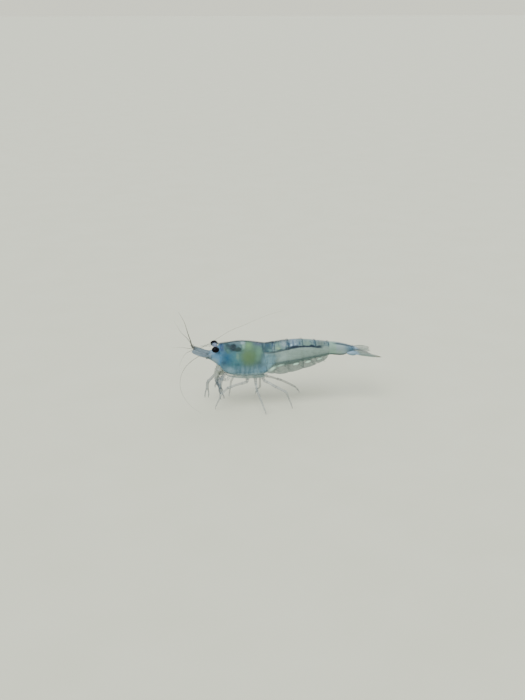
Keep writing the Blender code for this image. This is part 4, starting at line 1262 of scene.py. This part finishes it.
def build_pleopods(leaf, hair):
    """Five pairs of swimmerets, each a stem with two fringed leaves."""
    for number, (x, length) in enumerate(PLEOPODS, 1):
        room = min(half_width(x + 1) * 0.93 - 0.5, 1.0)
        size = min(1.0, room / 0.9)
        for name, side in SIDES:
            root = np.array([x, side * (0.08 + room * 0.5), belly_line(x) - GAP - 0.25])
            reach = np.array([1.5, 0.05 * side, -0.9]) * length
            neck = root + reach * 0.36
            form, bristles = Form(), Form()
            wide = taper(14, (0, 0.16), (0.3, 0.24), (0.8, 0.22), (1, 0.14))
            form.add_tube(line(root + [-0.15, 0, 0.5], neck, 14), wide * size)
            for shift, wide, stop in ((0.14, 0.2, 0.93), (-0.16, 0.16, 0.837)):
                end = root + reach * stop + [0, side * shift, 0]
                path = line(neck - reach * 0.05, end, 18, (0.02, side * shift * 0.5, -0.06))
                widths = leaf_widths(18, wide * size)
                add_blade(form, path, (0, 1, 0), widths, 0.04, 14)
                add_fringe(bristles, path, (0, 1, 0), widths, (1, -1), 0.3, 0.99, 0.2 * length, 0.05, 0.007)
            form.make(f"pleopod_{number}_{name}_leaves", leaf, "limb", [f"pleopod_{number}_{name}"])
            bristles.make(f"pleopod_{number}_{name}_fringe", hair, "limb")


# ---------------------------------------------------------------- tail fan


def build_telson(fin, hair):
    """The fan's middle piece, with four pairs of spines on its back and a row at its tip."""
    root, tip = np.array([TAIL_ROOT - 0.2, 0, 8.2]), np.array([15.6, 0, 6.93])
    widths = [(0, 0.4), (0.12, 0.44), (0.4, 0.4), (0.7, 0.31), (0.93, 0.22), (1, 0.06)]
    form, bristles = Form(), Form()
    thick = taper(36, (0, 0.22), (0.2, 0.15), (1, 0.04))
    form.add_tube(line(root, tip, 36, (0, 0, 0.03)), widths, thick, 26, (0, 1, 0))
    form.make("telson_blade", fin, "fin", ["telson"], sharp=0)
    for place in (0.42, 0.55, 0.68, 0.8):
        for side in (-1, 1):
            start = root + (tip - root) * place + [0, side * 0.2, 0.13]
            bristles.add_hairs([start], [start + [0.13, 0, 0.02]], 0.016)
    for k, y in enumerate(np.linspace(-0.2, 0.2, 9)):
        start = tip + [-0.02, y, 0]
        bristles.add_hairs([start], [start + [0.3 - 0.1 * (k % 2), y * 0.4, -0.12]], 0.011)
    bristles.make("telson_spines", hair, "fin")


def build_uropods(fin, faint_fin, hair):
    """The fan's side blades, each on a short stem. The outer ones have a stiff outer edge."""
    for name, ((y, z), tip, width, tilt, length) in UROPODS.items():
        side = -1 if y < 0 else 1
        turned = unit(np.array([0, 1, tilt]))
        root = np.array([TAIL_ROOT - 0.2, y * 0.8, z])
        reach = (tip - root) * length
        path = line(root, root + reach, 40, (0, 0.05 * side, 0.04))
        widths = width * taper(40, (0, 0.5), (0.12, 0.85), (0.4, 1.0), (0.75, 0.8), (0.93, 0.4), (1, 0.06))
        form, bristles = Form(), Form()
        add_blade(form, path, turned, widths, 0.04, 28)
        stem = line(root - [0.9, 0.1 * side, 0.02], root + reach * 0.14, 14)
        form.add_tube(stem, [(0, 0.1), (0.3, 0.28), (0.75, 0.3), (1, 0.12)], sides=14)
        if name.startswith("outer"):
            outer = path + turned * side * widths[:, None] * 0.95
            form.add_tube(outer[3:32], [(0, 0.045), (0.9, 0.05), (1, 0.01)], sides=6)
            add_fringe(bristles, path, turned, widths, (side,), 0.8, 0.99, 0.42, 0.028)
            add_fringe(bristles, path, turned, widths, (-side,), 0.22, 0.99, 0.4, 0.028)
        else:
            add_fringe(bristles, path, turned, widths, (1, -1), 0.3, 0.99, 0.4, 0.028)
        tone = fin if side < 0 else faint_fin
        form.make(f"uropod_{name}_blade", tone, "fin", [f"uropod_{name}"], sharp=60)
        bristles.make(f"uropod_{name}_fringe", hair, "fin")


# ---------------------------------------------------------------- studio

HORIZON, ZENITH = (1.06, 1.08, 0.9), (1.15, 1.2, 1.25)
# The suns: the way to each, its angle in degrees, its strength.
SUNS = {"key": ((-0.4, -0.45, 0.8), 50, 4.4), "back": ((0.5, 0.7, 0.6), 60, 0.8)}
CAMERA_AZIMUTH, CAMERA_ELEVATION = math.radians(-7), math.radians(20)
CAMERA_DISTANCE = 144
TARGET = (-0.248, 2.838, 7.255)


def build_floor():
    """A plain pale floor, far wider than the view."""
    bpy.ops.mesh.primitive_grid_add(x_subdivisions=4, y_subdivisions=4, size=6.0)
    floor = bpy.context.object
    floor.name = "floor"
    paint = Paint("pale_floor")
    colour = paint.mix(paint.noise(9.0, 3.0), (0.42, 0.43, 0.33), (0.46, 0.47, 0.37))
    floor.data.materials.append(paint.finish(colour, 0.8))


def add_facing(name, data, way):
    """A lamp or a camera that stands off by the way and looks back."""
    holder = bpy.data.objects.new(name, data)
    holder.rotation_euler = (-Vector(way)).to_track_quat("-Z", "Y").to_euler()
    bpy.context.scene.collection.objects.link(holder)
    return holder


def build_lights():
    """Two soft suns and a pale sky that meets the floor's brightness at the horizon."""
    world = bpy.data.worlds.new("studio")
    world.use_nodes = True
    bpy.context.scene.world = world
    sky = Nodes(world.node_tree)
    height = sky.parts(sky.node("TexCoord", output="Generated"))["Z"]
    colour = sky.mix(sky.step(height, 0.0, 0.35), HORIZON, ZENITH)
    sky.feed(world.node_tree.nodes["Background"].inputs["Color"], colour)
    for name, (way, angle, power) in SUNS.items():
        lamp = bpy.data.lights.new(name, "SUN")
        lamp.angle = math.radians(angle)
        lamp.energy = power
        add_facing(name, lamp, way)


def build_camera():
    """Looks down on the left side, from a little ahead of it. The target lies beyond the shrimp."""
    level = math.cos(CAMERA_ELEVATION)
    back = Vector((math.sin(CAMERA_AZIMUTH), -math.cos(CAMERA_AZIMUTH), math.tan(CAMERA_ELEVATION))) * level
    camera = bpy.data.cameras.new("camera")
    camera.lens = 50
    camera.sensor_width = 36
    camera.clip_start = 1 * MM
    holder = add_facing("camera", camera, back)
    holder.location = Vector((TARGET + SHIFT) * MM) + back * CAMERA_DISTANCE * MM
    bpy.context.scene.camera = holder


def main():
    limbs = [limb_paint(name, *look) for name, look in LIMB_LOOKS.items()]
    limb, arm, palp, mouth, stem, face, stalk, leaf = limbs
    scale, fin, faint_fin, dark_fin = [fin_paint(name, *look) for name, look in FIN_LOOKS.items()]
    shield, hair = shield_paint(), hair_paint()
    build_camera()
    build_floor()
    build_lights()
    build_carapace(shield)
    build_organs(organ_paint())
    build_rostrum(shield, hair)
    build_head(face)
    build_eyes(cornea_paint(), stalk)
    build_feeler_bases(stem, scale, hair)
    build_whips(feeler_paint("feeler", 0.85), feeler_paint("faint_feeler", 0.35))
    build_mouth_legs(palp, hair)
    build_mouthparts(mouth)
    build_claw_legs(arm, hair)
    build_walking_legs(limb, hair)
    rings = ring_paint()
    build_abdomen(rings)
    build_last_ring(rings)
    build_muscle(muscle_paint())
    build_pleopods(leaf, hair)
    build_telson(dark_fin, hair)
    build_uropods(fin, faint_fin, hair)


main()
